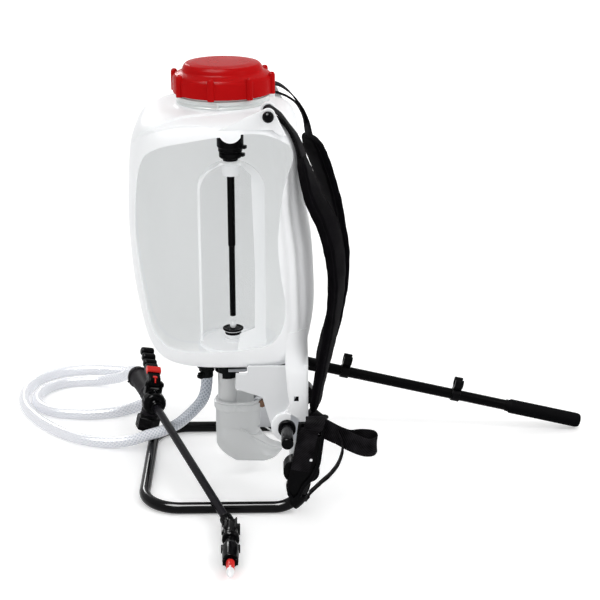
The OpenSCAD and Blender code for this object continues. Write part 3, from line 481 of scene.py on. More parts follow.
def window_outline():
    """The window's edge, with the part above the relief valve pushed down round a tongue of the wall."""
    loop = spline([window_points[-1], *window_points, *window_points[:2]], 10)[10:-11]
    tongue = arc((tongue_x, tongue_z), tongue_r, *tongue_span, 16)
    x, z = loop.T
    over = (np.abs(x - tongue_x) < tongue_half) & (z > window_head)
    kept, at = loop[~over], int(np.flatnonzero(over)[0])
    return np.concatenate([kept[:at], tongue[::-1] if x[at] > tongue_x else tongue, kept[at:]])


def face_places(piece):
    """The middle and the normal of each face of a piece, as two arrays."""
    faces = piece.data.polygons
    middles, facing = np.empty(3 * len(faces)), np.empty(3 * len(faces))
    faces.foreach_get("center", middles)
    faces.foreach_get("normal", facing)
    return middles.reshape(-1, 3), facing.reshape(-1, 3)


tank_levels = spline(tank_rows, 7)
tank_top = tank_levels[-1, 0]
squeeze = 1 - 2 * tank_wall / (tank_top - floor_z)
neck_profile = [
    (neck_r + 6, tank_top + 1.2), (neck_r + 2, tank_top + 3), (neck_r + 0.4, tank_top + 6),
    (neck_r, tank_top + 8), (neck_r, 514), (neck_r + 1.6, 515), (neck_r + 1.6, 517.5), (neck_r, 518.5),
    (neck_r, neck_top - 1), (neck_r - 1, neck_top), (neck_r - 4, neck_top),
    (neck_r - 4, tank_top - tank_wall),
]
inner_heights = floor_z + tank_wall + (tank_levels[::-1, 0:1] - floor_z) * squeeze
tank_grid = np.concatenate([
    tank_rings(tank_levels, 0, tank_levels[:, 0:1]),
    lathe(neck_profile, tank_sides),
    tank_rings(tank_levels[::-1], tank_wall, inner_heights),
])
# The white wall carries a painted glow of 0.06, standing in for daylight let through it.
white_poly = moulded(
    "white_polyethylene", (0.92, 0.93, 0.94), 0.36, 0.04, 700.0, 0.12, 0.03, 0.03, (0.95, 0.97, 1, 0.06),
)
# Inner faces take a copy painted greyer, as shade inside the tank, with a stronger painted glow of 0.16 that
# lifts it.
white_inside = moulded(
    "white_polyethylene_inside", (0.84, 0.85, 0.85), 0.5, 0.06, 120.0, 0.12, 0.02, 0.15,
    (0.96, 0.97, 0.97, 0.16),
)
tank_body = skin("tank_body", [tank_grid])
cut_away(tank_body, prism("window_tool", window_outline(), -160, -60))
fit(tank_body, white_poly, "white_tank", "tank_shell", "filler_neck")
tank_body.data.materials.append(white_inside)
# Faces that look inwards, below the shoulder, take the painted inside copy.
middles, facing = face_places(tank_body)
from_core = middles - np.clip(middles, [0, 0, core_low * mm], [0, 0, core_high * mm])
looks_in = (np.sum(facing * from_core, -1) < 0) & (middles[:, 2] < inside_top * mm)
looks_in &= np.abs(facing[:, 1]) > 1e-4
tank_body.data.polygons.foreach_set("material_index", looks_in.astype(np.int32))

# Shoulder and neck: two soft ridges are moulded along each side of the shoulder.
# The neck, of the same plastic in a greyer colour, has two beads and a stop for the lid.
shoulder_ridges = [
    [
        [-106.8, -77.8, 474.6], [-103.5, -79.5, 479.9], [-92.5, -85.5, 489.2], [-79.2, -85, 495.7],
        [-63.8, -80, 500.8], [-48.6, -72.5, 503.7], [-30.8, -66.5, 505.2], [-12.9, -62.2, 506.2],
        [12.4, -57, 506.9],
    ],
    [
        [-101.2, -85.2, 479.4], [-91, -90, 486.6], [-78.7, -92.8, 492.6], [-63.2, -92.8, 495.8],
        [-47.6, -93, 497.8], [-25, -94.2, 498], [-2.4, -96.8, 496.2],
    ],
]
ridge_thin, ridge_swell, ridge_sink, shoulder_core, block_sides = 0.4, 2.8, 0.6, 440, 32
neck_bands = [
    (56.2, 509), (57.8, 509.6), (58.2, 511), (57.4, 512.4), (56.6, 512.8), (56.6, 514.8), (58.8, 515.4),
    (59.2, 517.4), (58.8, 519.2), (56.8, 519.8), (56.4, 526), (55.2, 526), (55.2, 509), (56.2, 509),
]


def box_grid(low, high, edge=0.6):
    """Rings of a block with rounded upright edges and a small chamfer at both ends, from corner to corner."""
    low, high = np.asarray(low, float), np.asarray(high, float)
    middle, reach = (low + high) / 2, (high - low) / 2
    a = round_angles(block_sides)
    corner = np.minimum(edge, reach[:2].min() * 0.9)
    ring = np.stack([np.cos(a), np.sin(a)], -1)
    ring = np.sign(ring) * (np.abs(np.sign(np.round(ring, 9))) * (reach[:2] - corner)) + ring * corner
    inset = np.array([corner, 0.3 * corner, 0, 0, 0.3 * corner, corner]) * 0.6
    depth = np.array([-1, -1, -1, 1, 1, 1]) * reach[2] + np.array([0, 0.3, 1, -1, -0.3, 0]) * corner * 0.6
    size = (reach[:2] - inset[:, None]) / reach[:2]
    xy = ring[None] * size[:, None]
    return np.concatenate([xy, np.broadcast_to(depth[:, None, None], (6, block_sides, 1))], -1) + middle


def ridge_rings(route, sign):
    """A round bead along a route, thin at its ends and sunk a little into the shoulder."""
    path = spline(route, 10) * [1, sign, 1]
    path = path - ridge_sink * unit(path - [0, 0, shoulder_core])
    arch = np.sin(np.pi * np.linspace(0, 1, len(path))) ** 0.5
    return tube(path, ridge_thin + ridge_swell * arch, 16)


def turned(name, grids, material, slot, *replaced, **how):
    """A piece of turned grids, whose ends close by themselves, fitted."""
    return form(name, grids, material, slot, *replaced, caps=False, **how)


ridges = [ridge_rings(route, sign) for route in shoulder_ridges for sign in (1, -1)]
form("shoulder_ridges", ridges, white_poly, "white_tank", "tank_shell")
neck_poly = moulded("neck_polyethylene", (0.72, 0.76, 0.75), 0.32, 0.08, 700.0, 0.12, 0.03, 0.35)
turned("neck_beads", [lathe(neck_bands, 120)], neck_poly, "white_tank", "filler_neck")
stop = box_grid((-6, -60.2, 509.4), (-3.6, -56, 519.4), 0.5)
form("neck_stop", [stop], neck_poly, "white_tank", "filler_neck")

# Ears: two flat cheeks on each side of the shoulder, moulded with the tank.
# The outer and the inner one hold the strap's pin between them.
ear_x, ear_z, ear_y, ear_t, inner_ear_out, inner_ear_in = 56.0, 512.0, 96.0, 5, 66, 58
ear_top = arc((ear_x, ear_z), 8.8, 122, 12, 14)
outer_ear = [[-4, 494.6], [44, 516.2], *ear_top, [78, 486.4], [68, 489], [61, 494.6]]
inner_ear = [[ear_x - 9, 496], *arc((ear_x, ear_z), 9, 180, 0, 14), [ear_x + 9, 496]]
both_sides = (("near", 1), ("far", -1))


def bevelled(piece, width, segments=2, angle=40):
    """Rounds the crisp edges of a piece by that width in millimetres."""
    made = piece.modifiers.new("rounded_edges", "BEVEL")
    made.width, made.segments, made.limit_method = width * mm, segments, "ANGLE"
    made.angle_limit = math.radians(angle)
    made.harden_normals = True
    return piece


def plate(name, outline, y1, y2, edge, material, slot, *replaced, segments=2):
    """A flat plate with rounded edges between two depths, fitted."""
    return fit(bevelled(prism(name, outline, y1, y2), edge, segments), material, slot, *replaced)


for side, sign in both_sides:
    outer, inner = (sign * (-ear_y - ear_t), sign * -ear_y), (sign * -inner_ear_out, sign * -inner_ear_in)
    plate(f"{side}_ear", outer_ear, *outer, 1.2, white_poly, "white_tank", "tank_shell", segments=3)
    plate(f"{side}_inner_ear", inner_ear, *inner, 1.2, white_poly, "white_tank", "tank_shell")

# Skirt: the tank's wall goes on below its floor on both sides and carries the pump shaft in two bosses.
# It is moulded with the tank; the thin web between post and pump looks greyer than the wall.
skirt_y, skirt_z, shaft_x, shaft_z, boss_r, post_w = 104.0, 66.0, 77.0, 112.0, 20.0, 4.0
post_top, post_back, post_face, blend_from, blend_run = 238, 104, 110, 186, 52
web_outline = [[28, 194], [28, 184], [13, 184], [12, 163], [46, 151], [58, 108], [82, 92], [82, 194]]
gusset = [[58, 119], *arc((60, 146), 20, -70, -6, 10), [82, 140], [82, 112], [60, 110]]
wing_outline = [[100, skirt_z], [104, skirt_z], [104, 196], [100, 196]]
slot_outline = [[86, 146.8], [92, 146.8], [92, 154.8], [86, 154.8]]


def softened(profile, radius, steps=5):
    """A profile with its corners rounded: each is cut back and bridged by a quadratic curve."""
    p = np.asarray(profile, float)
    before, corner, after = p[:-2], p[1:-1], p[2:]
    into, out = before - corner, after - corner
    room_in, room_out = (np.linalg.norm(way, axis=1, keepdims=True) for way in (into, out))
    start = corner + into / room_in * np.minimum(radius, room_in * 0.49)
    end = corner + out / room_out * np.minimum(radius, room_out * 0.49)
    t = np.linspace(0, 1, steps)[None, :, None]
    bridge = (1 - t) ** 2 * start[:, None] + 2 * t * (1 - t) * corner[:, None] + t**2 * end[:, None]
    return np.concatenate([p[:1], bridge.reshape(-1, 2), p[-1:]])


def turn(axis, degrees):
    """The matrix of a turn about X, Y or Z."""
    c, s = math.cos(math.radians(degrees)), math.sin(math.radians(degrees))
    if axis == "X":
        return np.array([[1, 0, 0], [0, c, -s], [0, s, c]])
    if axis == "Y":
        return np.array([[c, 0, s], [0, 1, 0], [-s, 0, c]])
    return np.array([[c, -s, 0], [s, c, 0], [0, 0, 1]])


def put(grid, at, matrix=np.eye(3)):
    """A grid turned by a matrix and moved to a place."""
    return grid @ np.asarray(matrix).T + np.asarray(at, float)


def tank_side(x, z):
    """The tank's half width at a place and height: b times (1 - |x/a|^n)^(1/n) of that level's rectangle."""
    low, high, b, n = (np.interp(z, tank_rows[:, 0], tank_rows[:, k]) for k in (1, 2, 3, 4))
    share = np.clip(np.abs(x - (low + high) / 2) / ((high - low) / 2), 0, 0.995)
    return b * (1 - share**n) ** (1 / n)


def skirt_post(sign):
    """Rings of a flat post up the side: at one depth below the floor, then sliding back into the wall."""
    z = np.linspace(skirt_z, post_top, 60)[:, None]
    left = np.interp(z, [skirt_z, 147, 158, 196, post_top], [80, 80, 78, 75, 77])
    share = np.linspace(0, 1, 14)[None]
    x = left + (post_back - left) * share
    s = np.clip((z - blend_from) / blend_run, 0, 1)
    s = s * s * (3 - 2 * s)
    front = post_face - 1.2 * (np.maximum(0, np.abs(2 * share - 1) - 0.86) / 0.14) ** 2
    front = front * (1 - s) + (tank_side(x, z) - 1.0) * s
    outer = np.stack([x, front, z + 0 * x], -1)
    inner = np.stack([x, front - post_w, z + 0 * x], -1)[:, ::-1]
    return np.concatenate([outer, inner], 1) * [1, -sign, 1]


# The web's plastic carries a painted glow of 0.08, standing in for daylight let through it.
natural_poly = moulded(
    "natural_polyethylene", (0.68, 0.69, 0.7), 0.38, 0.1, 300.0, 0.12, 0.03, 0.2, (0.95, 0.97, 1, 0.08),
    Alpha=0.96,
)
boss_profile = softened([(9.6, 0), (boss_r, 0), (boss_r, 16), (9.6, 16)], 1.5)
of_wall = (white_poly, "white_tank", "tank_shell")
for side, sign in both_sides:
    depths = (sign * -skirt_y, sign * (-skirt_y + 4))
    plate(f"{side}_skirt_web", web_outline, *depths, 1.2, natural_poly, "white_tank", "tank_shell")
    post = skin(f"{side}_skirt_post", [skirt_post(sign)])
    fit(cut_away(post, prism("slot_tool", slot_outline, sign * -114, sign * -104)), *of_wall)
    plate(f"{side}_skirt_wing", wing_outline, sign * -108, sign * -70, 1.0, *of_wall)
    plate(f"{side}_boss_gusset", gusset, sign * -109.4, sign * -100, 1.0, *of_wall)
    boss = put(lathe(boss_profile, 72, True), (shaft_x, sign * -post_face, shaft_z), turn("X", sign * -90))
    turned(f"{side}_shaft_boss", [boss], *of_wall)
back_outline = [[100, 150], [104, 150], [104, 194], [100, 194]]
plate("wearer_wall", back_outline, -70, 70, 1.0, white_poly, "white_tank", "skirt_panel")

# Strap pins: black nylon pins with a polished ball on the outer end.
# They are pushed through each pair of ears, and the straps go round them.
ball_r = 7
ball = [(ball_r * math.sin(a), -ball_r * math.cos(a)) for a in np.linspace(0, 2.45, 26)]
pin_profile = [*ball, (4, 7.5), (4, 53), (3.4, 54), (0, 54)]
satin_black = moulded("satin_black_nylon", (0.0014, 0.0013, 0.0018), 0.3, 0.4, 1400.0, 0.2, 0.05, 0.045)
bright_black = moulded("bright_black_nylon", (0.002, 0.002, 0.0025), 0.14, 0.3, 900.0, 0.08, 0.015, 0.04)
pins = [put(lathe(pin_profile, 40), (ear_x, sign * -108, ear_z), turn("X", sign * -90)) for sign in (1, -1)]
turned("ball_pins", pins, bright_black, "black_plastic", "strap_pins")

# Lid: a red screw lid, injection moulded in polypropylene, with ribs to grip round its rim.
# It screws on the neck and has a raised round top.
lid_r, lid_z, lid_ribs = 62.0, 522.0, 8
lid_profile = softened([
    (0, lid_z + 37.4), (lid_r - 26, lid_z + 37.2), (lid_r - 16, lid_z + 35.6), (lid_r - 13, lid_z + 32),
    (lid_r - 11.4, lid_z + 27.4), (lid_r - 9.6, lid_z + 26), (lid_r - 2.6, lid_z + 22.6), (lid_r, lid_z + 19),
    (lid_r + 0.4, lid_z), (neck_r + 3.4, lid_z), (neck_r + 3.4, lid_z + 22), (0, lid_z + 22),
], 1.5)
rib_profile = softened([
    (0, lid_z - 1), (4.2, lid_z - 1), (4.2, lid_z + 21), (3.8, lid_z + 24), (2.4, lid_z + 25.8),
    (0, lid_z + 26.2),
], 0.8)
rib = put(lathe(rib_profile, 20), (lid_r + 0.2, 0, 0))
ribs = [put(rib, (0, 0, 0), turn("Z", 258 + 360 * k / lid_ribs)) for k in range(lid_ribs)]
red_lid = moulded("red_polypropylene", (0.5, 0.006, 0.007), 0.26, 0.2, 900.0, 0.12, 0.03, 0.012)
turned("screw_lid", [lathe(lid_profile, 160), *ribs], red_lid, "red_plastic", "lid", body="lid")

# Pressure vessel: a domed bottle of clear polypropylene that stands on the tank's floor.
# It is cut open like the tank; its wall is a little grey and lets light through.
vessel_x, vessel_r, vessel_wall, dome_z, dome_rise, foot_top = 8.0, 43, 3, 395, 38, 191.2
rise = np.radians(np.linspace(0, 70, 24))
dome, inner_dome = (
    np.stack([(vessel_r - inset) * np.cos(rise), dome_z - inset + dome_rise * np.sin(rise)], -1)
    for inset in (0, vessel_wall)
)
vessel_profile = [
    (10, 186.5), (44, 186.5), (44, 191.5), (vessel_r, 194.5), *dome, (12, 433), (9, 433), (9, 429),
    *inner_dome[::-1], (40, 190.5), (10, 190.5),
]
vessel_cut = [
    [-48, 191], [6, 191], [10, 214.5], [29, 218.5], [30, 300], [26, 419], [12, 431], [-12, 431.5], [-30, 421],
    [-48, 399],
]
clear_poly = moulded("clear_polypropylene", (0.8, 0.81, 0.82), 0.24, 0.06, 60.0, 0.1, 0.0, 0.15, Alpha=0.1)
# The near outer faces and the foot take a whiter, more opaque copy with a painted glow of 0.18: a painted
# light band on the clear wall.
painted_light_band = moulded(
    "polypropylene_painted_light_band", (0.9, 0.91, 0.92), 0.3, 0.04, 60.0, 0.1, 0.0, 0.2, (1, 1, 1, 0.18), Alpha=0.85,
)
bottle = skin("pressure_bottle", [put(lathe(vessel_profile, 128, True), (vessel_x, 0, 0))], caps=False)
cut_away(bottle, prism("bottle_tool", np.array(vessel_cut) + [vessel_x, 0], -53, -6))
fit(bottle, clear_poly, "clear_plastic", "pressure_vessel")
bottle.data.materials.append(painted_light_band)
middles, facing = face_places(bottle)
outwards = np.sum(facing[:, :2] * (middles[:, :2] - [vessel_x * mm, 0]), -1) > 0
nearest = outwards & (middles[:, 1] < 0) | (middles[:, 2] < foot_top * mm)
bottle.data.polygons.foreach_set("material_index", nearest.astype(np.int32))

# Valves of the vessel: a white bushing in its mouth, two black rings with a lug each on top, a stepped black
# dip tube below, and the outlet valve's disc, knob and seat on the vessel's floor.
vessel_axis = (vessel_x, 0, 0)


def spun(name, sides, at, material, slot, solid, *profiles, closed=False, matrix=np.eye(3), body="sprayer"):
    """A piece of one or more profiles turned about one axis and put in its place, fitted."""
    grids = [put(lathe(profile, sides, closed), at, matrix) for profile in profiles]
    return turned(name, grids, material, slot, solid, body=body)


def lugged_ring(name, profile, lug_z, reach, solid):
    """A turned black ring with one lug that points to the near right."""
    lug = put(box_grid((0, -3.5, lug_z), (reach, 3.5, lug_z + 4.4), 1.0), vessel_axis, turn("Z", -25))
    form(name, [put(lathe(profile, 56), vessel_axis), lug], satin_black, "black_plastic", solid)


# White acetal carries a painted glow of 0.06, standing in for daylight let through it.
white_part = moulded("white_acetal", (0.88, 0.89, 0.9), 0.32, 0.05, 900.0, 0.1, 0.02, 0.3, (1, 1, 1, 0.06))
matt_rubber = moulded("black_rubber", (0.003, 0.003, 0.0035), 0.6, 0.4, 1800.0, 0.2, 0.1, 0.03)
bushing = softened([
    (4.9, 437), (4.9, 414), (10.4, 414), (11.3, 420), (11.5, 427.5), (9, 428.6), (9, 437),
], 0.8)
spun("mouth_bushing", 56, vessel_axis, white_part, "white_plastic", "vessel_bushing", bushing, closed=True)
lock_profile = softened([
    (0, 433.2), (9.5, 433.2), (10, 436.6), (13, 436.8), (14.5, 438.6), (14.5, 444.8), (0, 444.8),
], 0.6)
lugged_ring("vessel_lock_ring", lock_profile, 439.9, 19.5, "lock_ring")
relief_profile = softened([
    (0, 445.6), (15.5, 445.6), (15.5, 450), (17, 452), (17, 466), (14, 467), (9, 467), (9, 470.5), (0, 470.5),
], 0.8)
lugged_ring("relief_valve_cap", relief_profile, 450, 22, "relief_valve")
dip_profile = softened([(0, 224), (3.9, 224), (3.9, 319.4), (4.8, 320.6), (4.8, 437), (0, 437)], 0.6)
spun("stepped_dip_tube", 40, vessel_axis, satin_black, "black_tube", "dip_tube", dip_profile)
seat_profile = softened([
    (4, 186.6), (10, 186.6), (10, 190.5), (12.5, 190.6), (12.5, 194.4), (10, 194.6), (10, 200.4), (4, 200.4),
], 0.6)
spun("outlet_seat", 48, vessel_axis, white_part, "white_plastic", "valve_seat", seat_profile, closed=True)
gasket_profile = softened([(4, 199.4), (10.7, 199.4), (10.7, 202.4), (4, 202.4)], 0.6)
spun("seat_gasket", 48, vessel_axis, matt_rubber, "rubber", "seat_ring", gasket_profile, closed=True)
disc_profile = softened([
    (0, 204.7), (12.8, 204.9), (13.6, 205.6), (13.6, 207.2), (12.6, 207.6), (9, 206.6), (0, 207.5),
], 0.4)
stem_profile = [(0, 188), (3.2, 188), (3.2, 203.8), (0, 203.8)]
spun(
    "outlet_disc", 56, vessel_axis, satin_black, "rubber", "valve_disc", disc_profile, stem_profile,
    body="outlet",
)
knob_profile = softened([
    (0, 207.4), (3, 207.4), (3.4, 209), (4.2, 210.5), (4.2, 212.5), (3.2, 215), (1.6, 215.9), (0, 216),
], 1.0)
washer = [(0, 203.7), (11.8, 203.7), (12.2, 204.3), (11.8, 204.8), (0, 204.8)]
spun(
    "outlet_knob", 36, vessel_axis, white_part, "white_plastic", "valve_knob", knob_profile, washer,
    body="outlet",
)

# Pump head: a lobed black nut under the tank's floor that carries the fixed piston tube.
# A grey steel tab locks it. The elbow beside it leads to the hose, which a worm clamp holds.
pump_x, outlet_x, lobes = -1.0, -28.0, 10
turns_of = round_angles(200)


def swollen(profile, share, swell):
    """Rings turned about Z whose radius grows by a swell round them, times the share of each ring."""
    p = np.asarray(profile, float)
    r = p[:, 0:1] * (1 + np.asarray(share, float)[:, None] * swell[None])
    return np.stack([r * np.cos(turns_of), r * np.sin(turns_of), p[:, 1:2] + 0 * r], -1)


head_profile = [
    (12.6, 182), (25, 182), (26.3, 180.5), (26.4, 178), (26.4, 161), (25.8, 158.5), (24, 157.6),
    (16.4, 157.6), (16, 156), (16, 147.6), (15.4, 147), (12.6, 147), (12.6, 182),
]
head_share = [0, 0, 1, 1, 1, 1, 0.6, 0, 0, 0, 0, 0, 0]
lobe = 0.055 * np.tanh(2.2 * np.cos(lobes * (turns_of - math.radians(18))))
block = lathe(softened([(12.6, 140), (16, 140), (16, 149), (12.6, 149)], 0.7), 72, True)
block[:, :, 0] = np.maximum(block[:, :, 0], -6)
head = [put(grid, (pump_x, 0, 0)) for grid in (swollen(head_profile, head_share, lobe), block)]
deep_black = moulded("deep_black_nylon", (0.002, 0.003, 0.0035), 0.22, 0.3, 900.0, 0.15, 0.04, 0.06)
turned("pump_nut", head, deep_black, "black_plastic", "pump_head")
steel = moulded("zinc_plated_steel", (0.52, 0.53, 0.55), 0.3, 0.3, 1200.0, 0.2, 0.04, Metallic=1.0)
tab_outline = np.array([[2, -16], [2, -38], [22, -38], *arc((22, -33.5), 4.5, -90, 90, 12), [22, -16]])
tab = np.stack([np.insert(tab_outline, 2, z, axis=1) for z in (159.2, 159.6, 162.6, 163)])
bevelled(form("locking_tab", [tab], steel, "steel", "head_tab"), 0.5)
elbow_profile = softened([
    (5.6, 147), (10.5, 147), (10.5, 150.6), (13, 152.6), (13, 158), (12.2, 159), (12.2, 162), (13, 163),
    (13, 172), (11, 178), (7, 182), (0, 182), (0, 171), (4, 169), (5.6, 166),
], 0.5)
outlet_axis = (outlet_x, 0, 0)
spun("hose_elbow", 56, outlet_axis, deep_black, "black_plastic", "outlet_elbow", elbow_profile, closed=True)
clamp_profile = [(7.8, 138.5), (8.5, 138.5), (8.65, 138.8), (8.65, 146.2), (8.5, 146.5), (7.8, 146.5)]
screw_profile = softened([(0, -6), (2.6, -6), (2.6, 5), (3.2, 5), (3.2, 7), (0, 7)], 0.4)
screw = put(lathe(screw_profile, 24), (outlet_x - 6.5, -8.5, 142.5), turn("Z", 38) @ turn("Y", 90))
screw_box = box_grid((-4.5, -3.4, -3.8), (4.5, 3.4, 3.8), 0.8)
housing = put(screw_box, (outlet_x - 6.4, -7.6, 142.5), turn("Z", 38))
band = put(lathe(clamp_profile, 56, True), outlet_axis)
turned("worm_clamp", [band, housing, screw], deep_black, "steel", "hose_clamp")

# Piston tube and cylinder: the tube is fixed to the pump head; the cylinder slides up and down on it.
# Both are milky polypropylene; the cylinder has a collar round its rim and a flared foot with the inlet.
tube_profile = softened([(9.5, 72), (12.4, 72), (12.4, 181.9), (9.5, 181.9)], 0.6)
frosted_poly = moulded(
    "frosted_polypropylene", (0.78, 0.79, 0.79), 0.3, 0.06, 600.0, 0.1, 0.02, 0.3, Alpha=0.92,
)
spun(
    "fixed_piston_tube", 64, (pump_x, 0, 0), frosted_poly, "clear_plastic", "piston_tube", tube_profile,
    closed=True,
)
cup_wall, cup_sides, cup_w, foot_w, toe_x, toe_back, heel_x = 3.0, 96, 46, 56, 73, 28, -17
# Height, two ends along X and width of each level
cup_levels = np.array([
    [72, -17, 45, 46], [74, -17, 45, 46], [95, -17, 45, 46], [95.6, -17.4, 45.4, 46.8], [96.2, -19, 47, 50],
    [104.6, -19, 47, 50], [105.2, -18, 46, 48], [105.4, -17, 45, 46], [107.4, -17, 45, 46],
    [108, -16.4, 44.4, 44.8],
])


def oval_rings(levels, inset=0.0):
    """Rounded oblongs: two half circles of a level's half width, joined by straight sides."""
    a = round_angles(cup_sides)
    z, low, high, width = (levels[:, k : k + 1] for k in range(4))
    r = width / 2 - inset
    centre = np.where(np.cos(a) >= 0, high - width / 2, low + width / 2)
    return np.stack([centre + r * np.cos(a), r * np.sin(a), z + 0 * centre], -1)


def flared_foot():
    """Rings from the inlet up: an oblong that lengthens along X, its upper edge sloped down to the toe and
    its lower edge raised at the heel, blended smoothly into the cup's own oval."""
    v = np.linspace(0, 1, 46)[:, None]
    a = round_angles(cup_sides)[None]
    toe = toe_x - toe_back * np.clip((v - 0.32) / 0.68, 0, 1) ** 0.85
    width = foot_w - (foot_w - cup_w) * np.clip((v - 0.35) / 0.6, 0, 1) ** 1.2
    centre = np.where(np.cos(a) >= 0, toe - width / 2, heel_x + width / 2)
    draw = 0.9 + 0.1 * np.clip(v / 0.12, 0, 1) ** 0.5
    x = centre + width / 2 * np.cos(a) * draw
    y = width / 2 * np.sin(a) * draw
    low = np.interp(x, [-20, -17, 12, 48, 62, 71, 75], [44, 40, 25.4, 25, 28, 33, 36])
    high = np.interp(x, [-20, 16, 74], [73, 72, 36.5])
    return np.stack([x, y, low + (np.maximum(high, low + 0.5) - low) * v], -1)


cup_inner = oval_rings(cup_levels[::-1], cup_wall)
cup_inner[:, :, 2] = np.linspace(107.6, 60, len(cup_levels))[:, None]
cup = np.concatenate([oval_rings(cup_levels), cup_inner])
# The cup's colour is kept low and a painted glow of 0.16 added, which lifts the shade inside the cup.
natural_cup = moulded(
    "natural_polypropylene", (0.5, 0.51, 0.51), 0.3, 0.1, 300.0, 0.12, 0.02, 0.3, (0.94, 0.96, 0.97, 0.16),
    Alpha=0.93,
)
button_profile = softened([(0, 0), (4, 0), (4, 3.2), (3.4, 3.8), (0, 3.8)], 0.5)
button = put(lathe(button_profile, 32), (14, -22.4, 100), turn("X", 90))
toe_edge = [
    [14, -23.6, 72.4], [32, -25.4, 62.4], [48, -26.2, 52.6], [62, -21, 44], [70, -12, 39], [73, 0, 37.2],
]
toe_ridges = [tube(spline(toe_edge, 8) * [1, sign, 1], 1.1, 10) for sign in (1, -1)]
cup_grids = [cup, flared_foot(), button, *toe_ridges]
form("pump_cup", cup_grids, natural_cup, "clear_plastic", "pump_cylinder", body="cylinder")

# Slotted cheeks: two plates of zinc-plated steel on the side of the cylinder.
# The crank's pin runs in their slots, so that a turn of the shaft lifts the cylinder.
crank_z, slot_r, cheek_out, cheek_in = 103.46, 5.6, 11, 9
cheek_outline = [[34, 108], [38, 112], [58, 112], [66, 107], [66, 94], [57, 68], [38, 68], [34, 72]]
cheek_slot = [*arc((57, crank_z), slot_r, -90, 90, 12), *arc((44.5, crank_z), slot_r, 90, 270, 12)]
for side, sign in both_sides:
    cheek = prism(f"{side}_slot_cheek", cheek_outline, sign * -cheek_out, sign * -cheek_in)
    cut_away(cheek, prism("cheek_tool", cheek_slot, sign * -20, sign * -5))
    fit(bevelled(cheek, 0.4), steel, "steel", "slot_bracket", body="cylinder")

# Pump shaft: a blacked steel bar across the skirt in two black flanged bushings.
# Its near end is free and plugged; the lever's hub sits on the far end.
shaft_grey = moulded("blacked_steel", (0.012, 0.012, 0.013), 0.2, 0.3, 900.0, 0.15, 0.03, 0.2)
of_shaft = {"matrix": turn("X", -90), "body": "lever"}
shaft_end = (shaft_x, -159.0, shaft_z)
shaft_profile = softened([(0, 0), (7.5, 0), (7.5, 41), (7.2, 41.2), (7.2, 290), (0, 290)], 0.6)
spun("pump_cross_shaft", 48, shaft_end, shaft_grey, "steel", "pump_shaft", shaft_profile, **of_shaft)
flange_profile = softened([(7.4, 0), (10.6, 0), (11.3, 1), (11.3, 7), (9.6, 7), (9.6, 23), (7.4, 23)], 0.6)
flange = lathe(flange_profile, 56, True)
flanges = [put(flange, (shaft_x, sign * -117, shaft_z), turn("X", sign * -90)) for sign in (1, -1)]
turned("flanged_bushings", flanges, bright_black, "black_plastic", "shaft_bushings")
end_profile = softened([(0, -2), (6.2, -2), (7.3, -1), (7.62, 0.5), (7.62, 12), (0, 12)], 0.6)
spun("shaft_plug", 48, shaft_end, bright_black, "black_plastic", "shaft_cap", end_profile, **of_shaft)

# Pump lever: a black steel tube in a nylon hub on the far end of the shaft.
# It has a foam grip and two clips for the lance.
lever_y, lever_slope, clip_places, clip_half = 126.0, 13.3, (88.0, 252.0), 6


def along_x(profile, sides=48, closed=False):
    """A turned piece along X, from pairs of place and radius."""
    return put(lathe(np.asarray(profile)[:, ::-1], sides, closed), (0, 0, 0), turn("Y", 90))


def on_lever(grid):
    """A grid moved from the lever's own frame, X along its tube, to its place."""
    return put(grid, (shaft_x, lever_y, shaft_z), turn("Y", lever_slope))


def clip_seat(at):
    """A lance clip's stem on the lever and its open seat above, an oblong carried round an arc."""
    stem = box_grid((at - clip_half, -4.2, 8.6), (at + clip_half, 4.2, 13.4), 0.8)
    a = np.radians(np.linspace(129, 411, 44))[:, None]
    x, r = np.array([[-6, 5.6], [6, 5.6], [6, 8.6], [5.6, 9], [-5.6, 9], [-6, 8.6]]).T[:, None]
    return [on_lever(stem), on_lever(np.stack([at + x + 0 * a, r * np.cos(a), 18 + r * np.sin(a)], -1))]


socket_profile = softened([(4, 0), (10, 10.5), (16, 9.6), (50, 9.4), (52, 8.6), (52, 0)], 1.0)
barrel_profile = softened([(7.3, -8.4), (12.6, -8.4), (14, -7), (14, 7), (12.6, 8.4), (7.3, 8.4)], 0.8)
hub = [along_x(socket_profile), put(lathe(barrel_profile, 56, True), (0, 0, 0), turn("X", 90))]
turned("lever_socket", [on_lever(g) for g in hub], satin_black, "black_plastic", "lever_hub", body="lever")
satin_tube = moulded("satin_black_tube", (0.001, 0.001, 0.0012), 0.26, 0.3, 700.0, 0.15, 0.03, 0.035)
bar = along_x(softened([(18, 0), (18, 7.5), (431, 7.5), (431, 0)], 0.8))
turned("lever_bar", [on_lever(bar)], satin_tube, "black_tube", "lever_tube", body="lever")
foam_grip = moulded("black_foam_grip", (0.0025, 0.0025, 0.003), 0.62, 0.5, 2600.0, 0.2, 0.22, 0.015)
grip_profile = softened([
    (327, 7.6), (327, 8.4), (332.4, 8.6), (333.2, 10), (335, 10.2), (434, 10.3), (438, 9), (439, 6.5),
    (439, 0),
], 1.2)
turned("lever_foam_grip", [on_lever(along_x(grip_profile))], foam_grip, "rubber", "lever_grip", body="lever")
clip_profile = softened([(-clip_half, 7.4), (-clip_half, 9.5), (clip_half, 9.5), (clip_half, 7.4)], 0.6)
clip_rings = [on_lever(along_x(clip_profile + [at, 0], 48, True)) for at in clip_places]
turned("lance_clip_rings", clip_rings, satin_black, "black_plastic", "lance_clips", body="lever")
clip_seats = [grid for at in clip_places for grid in clip_seat(at)]
form("lance_clip_seats", clip_seats, satin_black, "black_plastic", "lance_clips", body="lever")

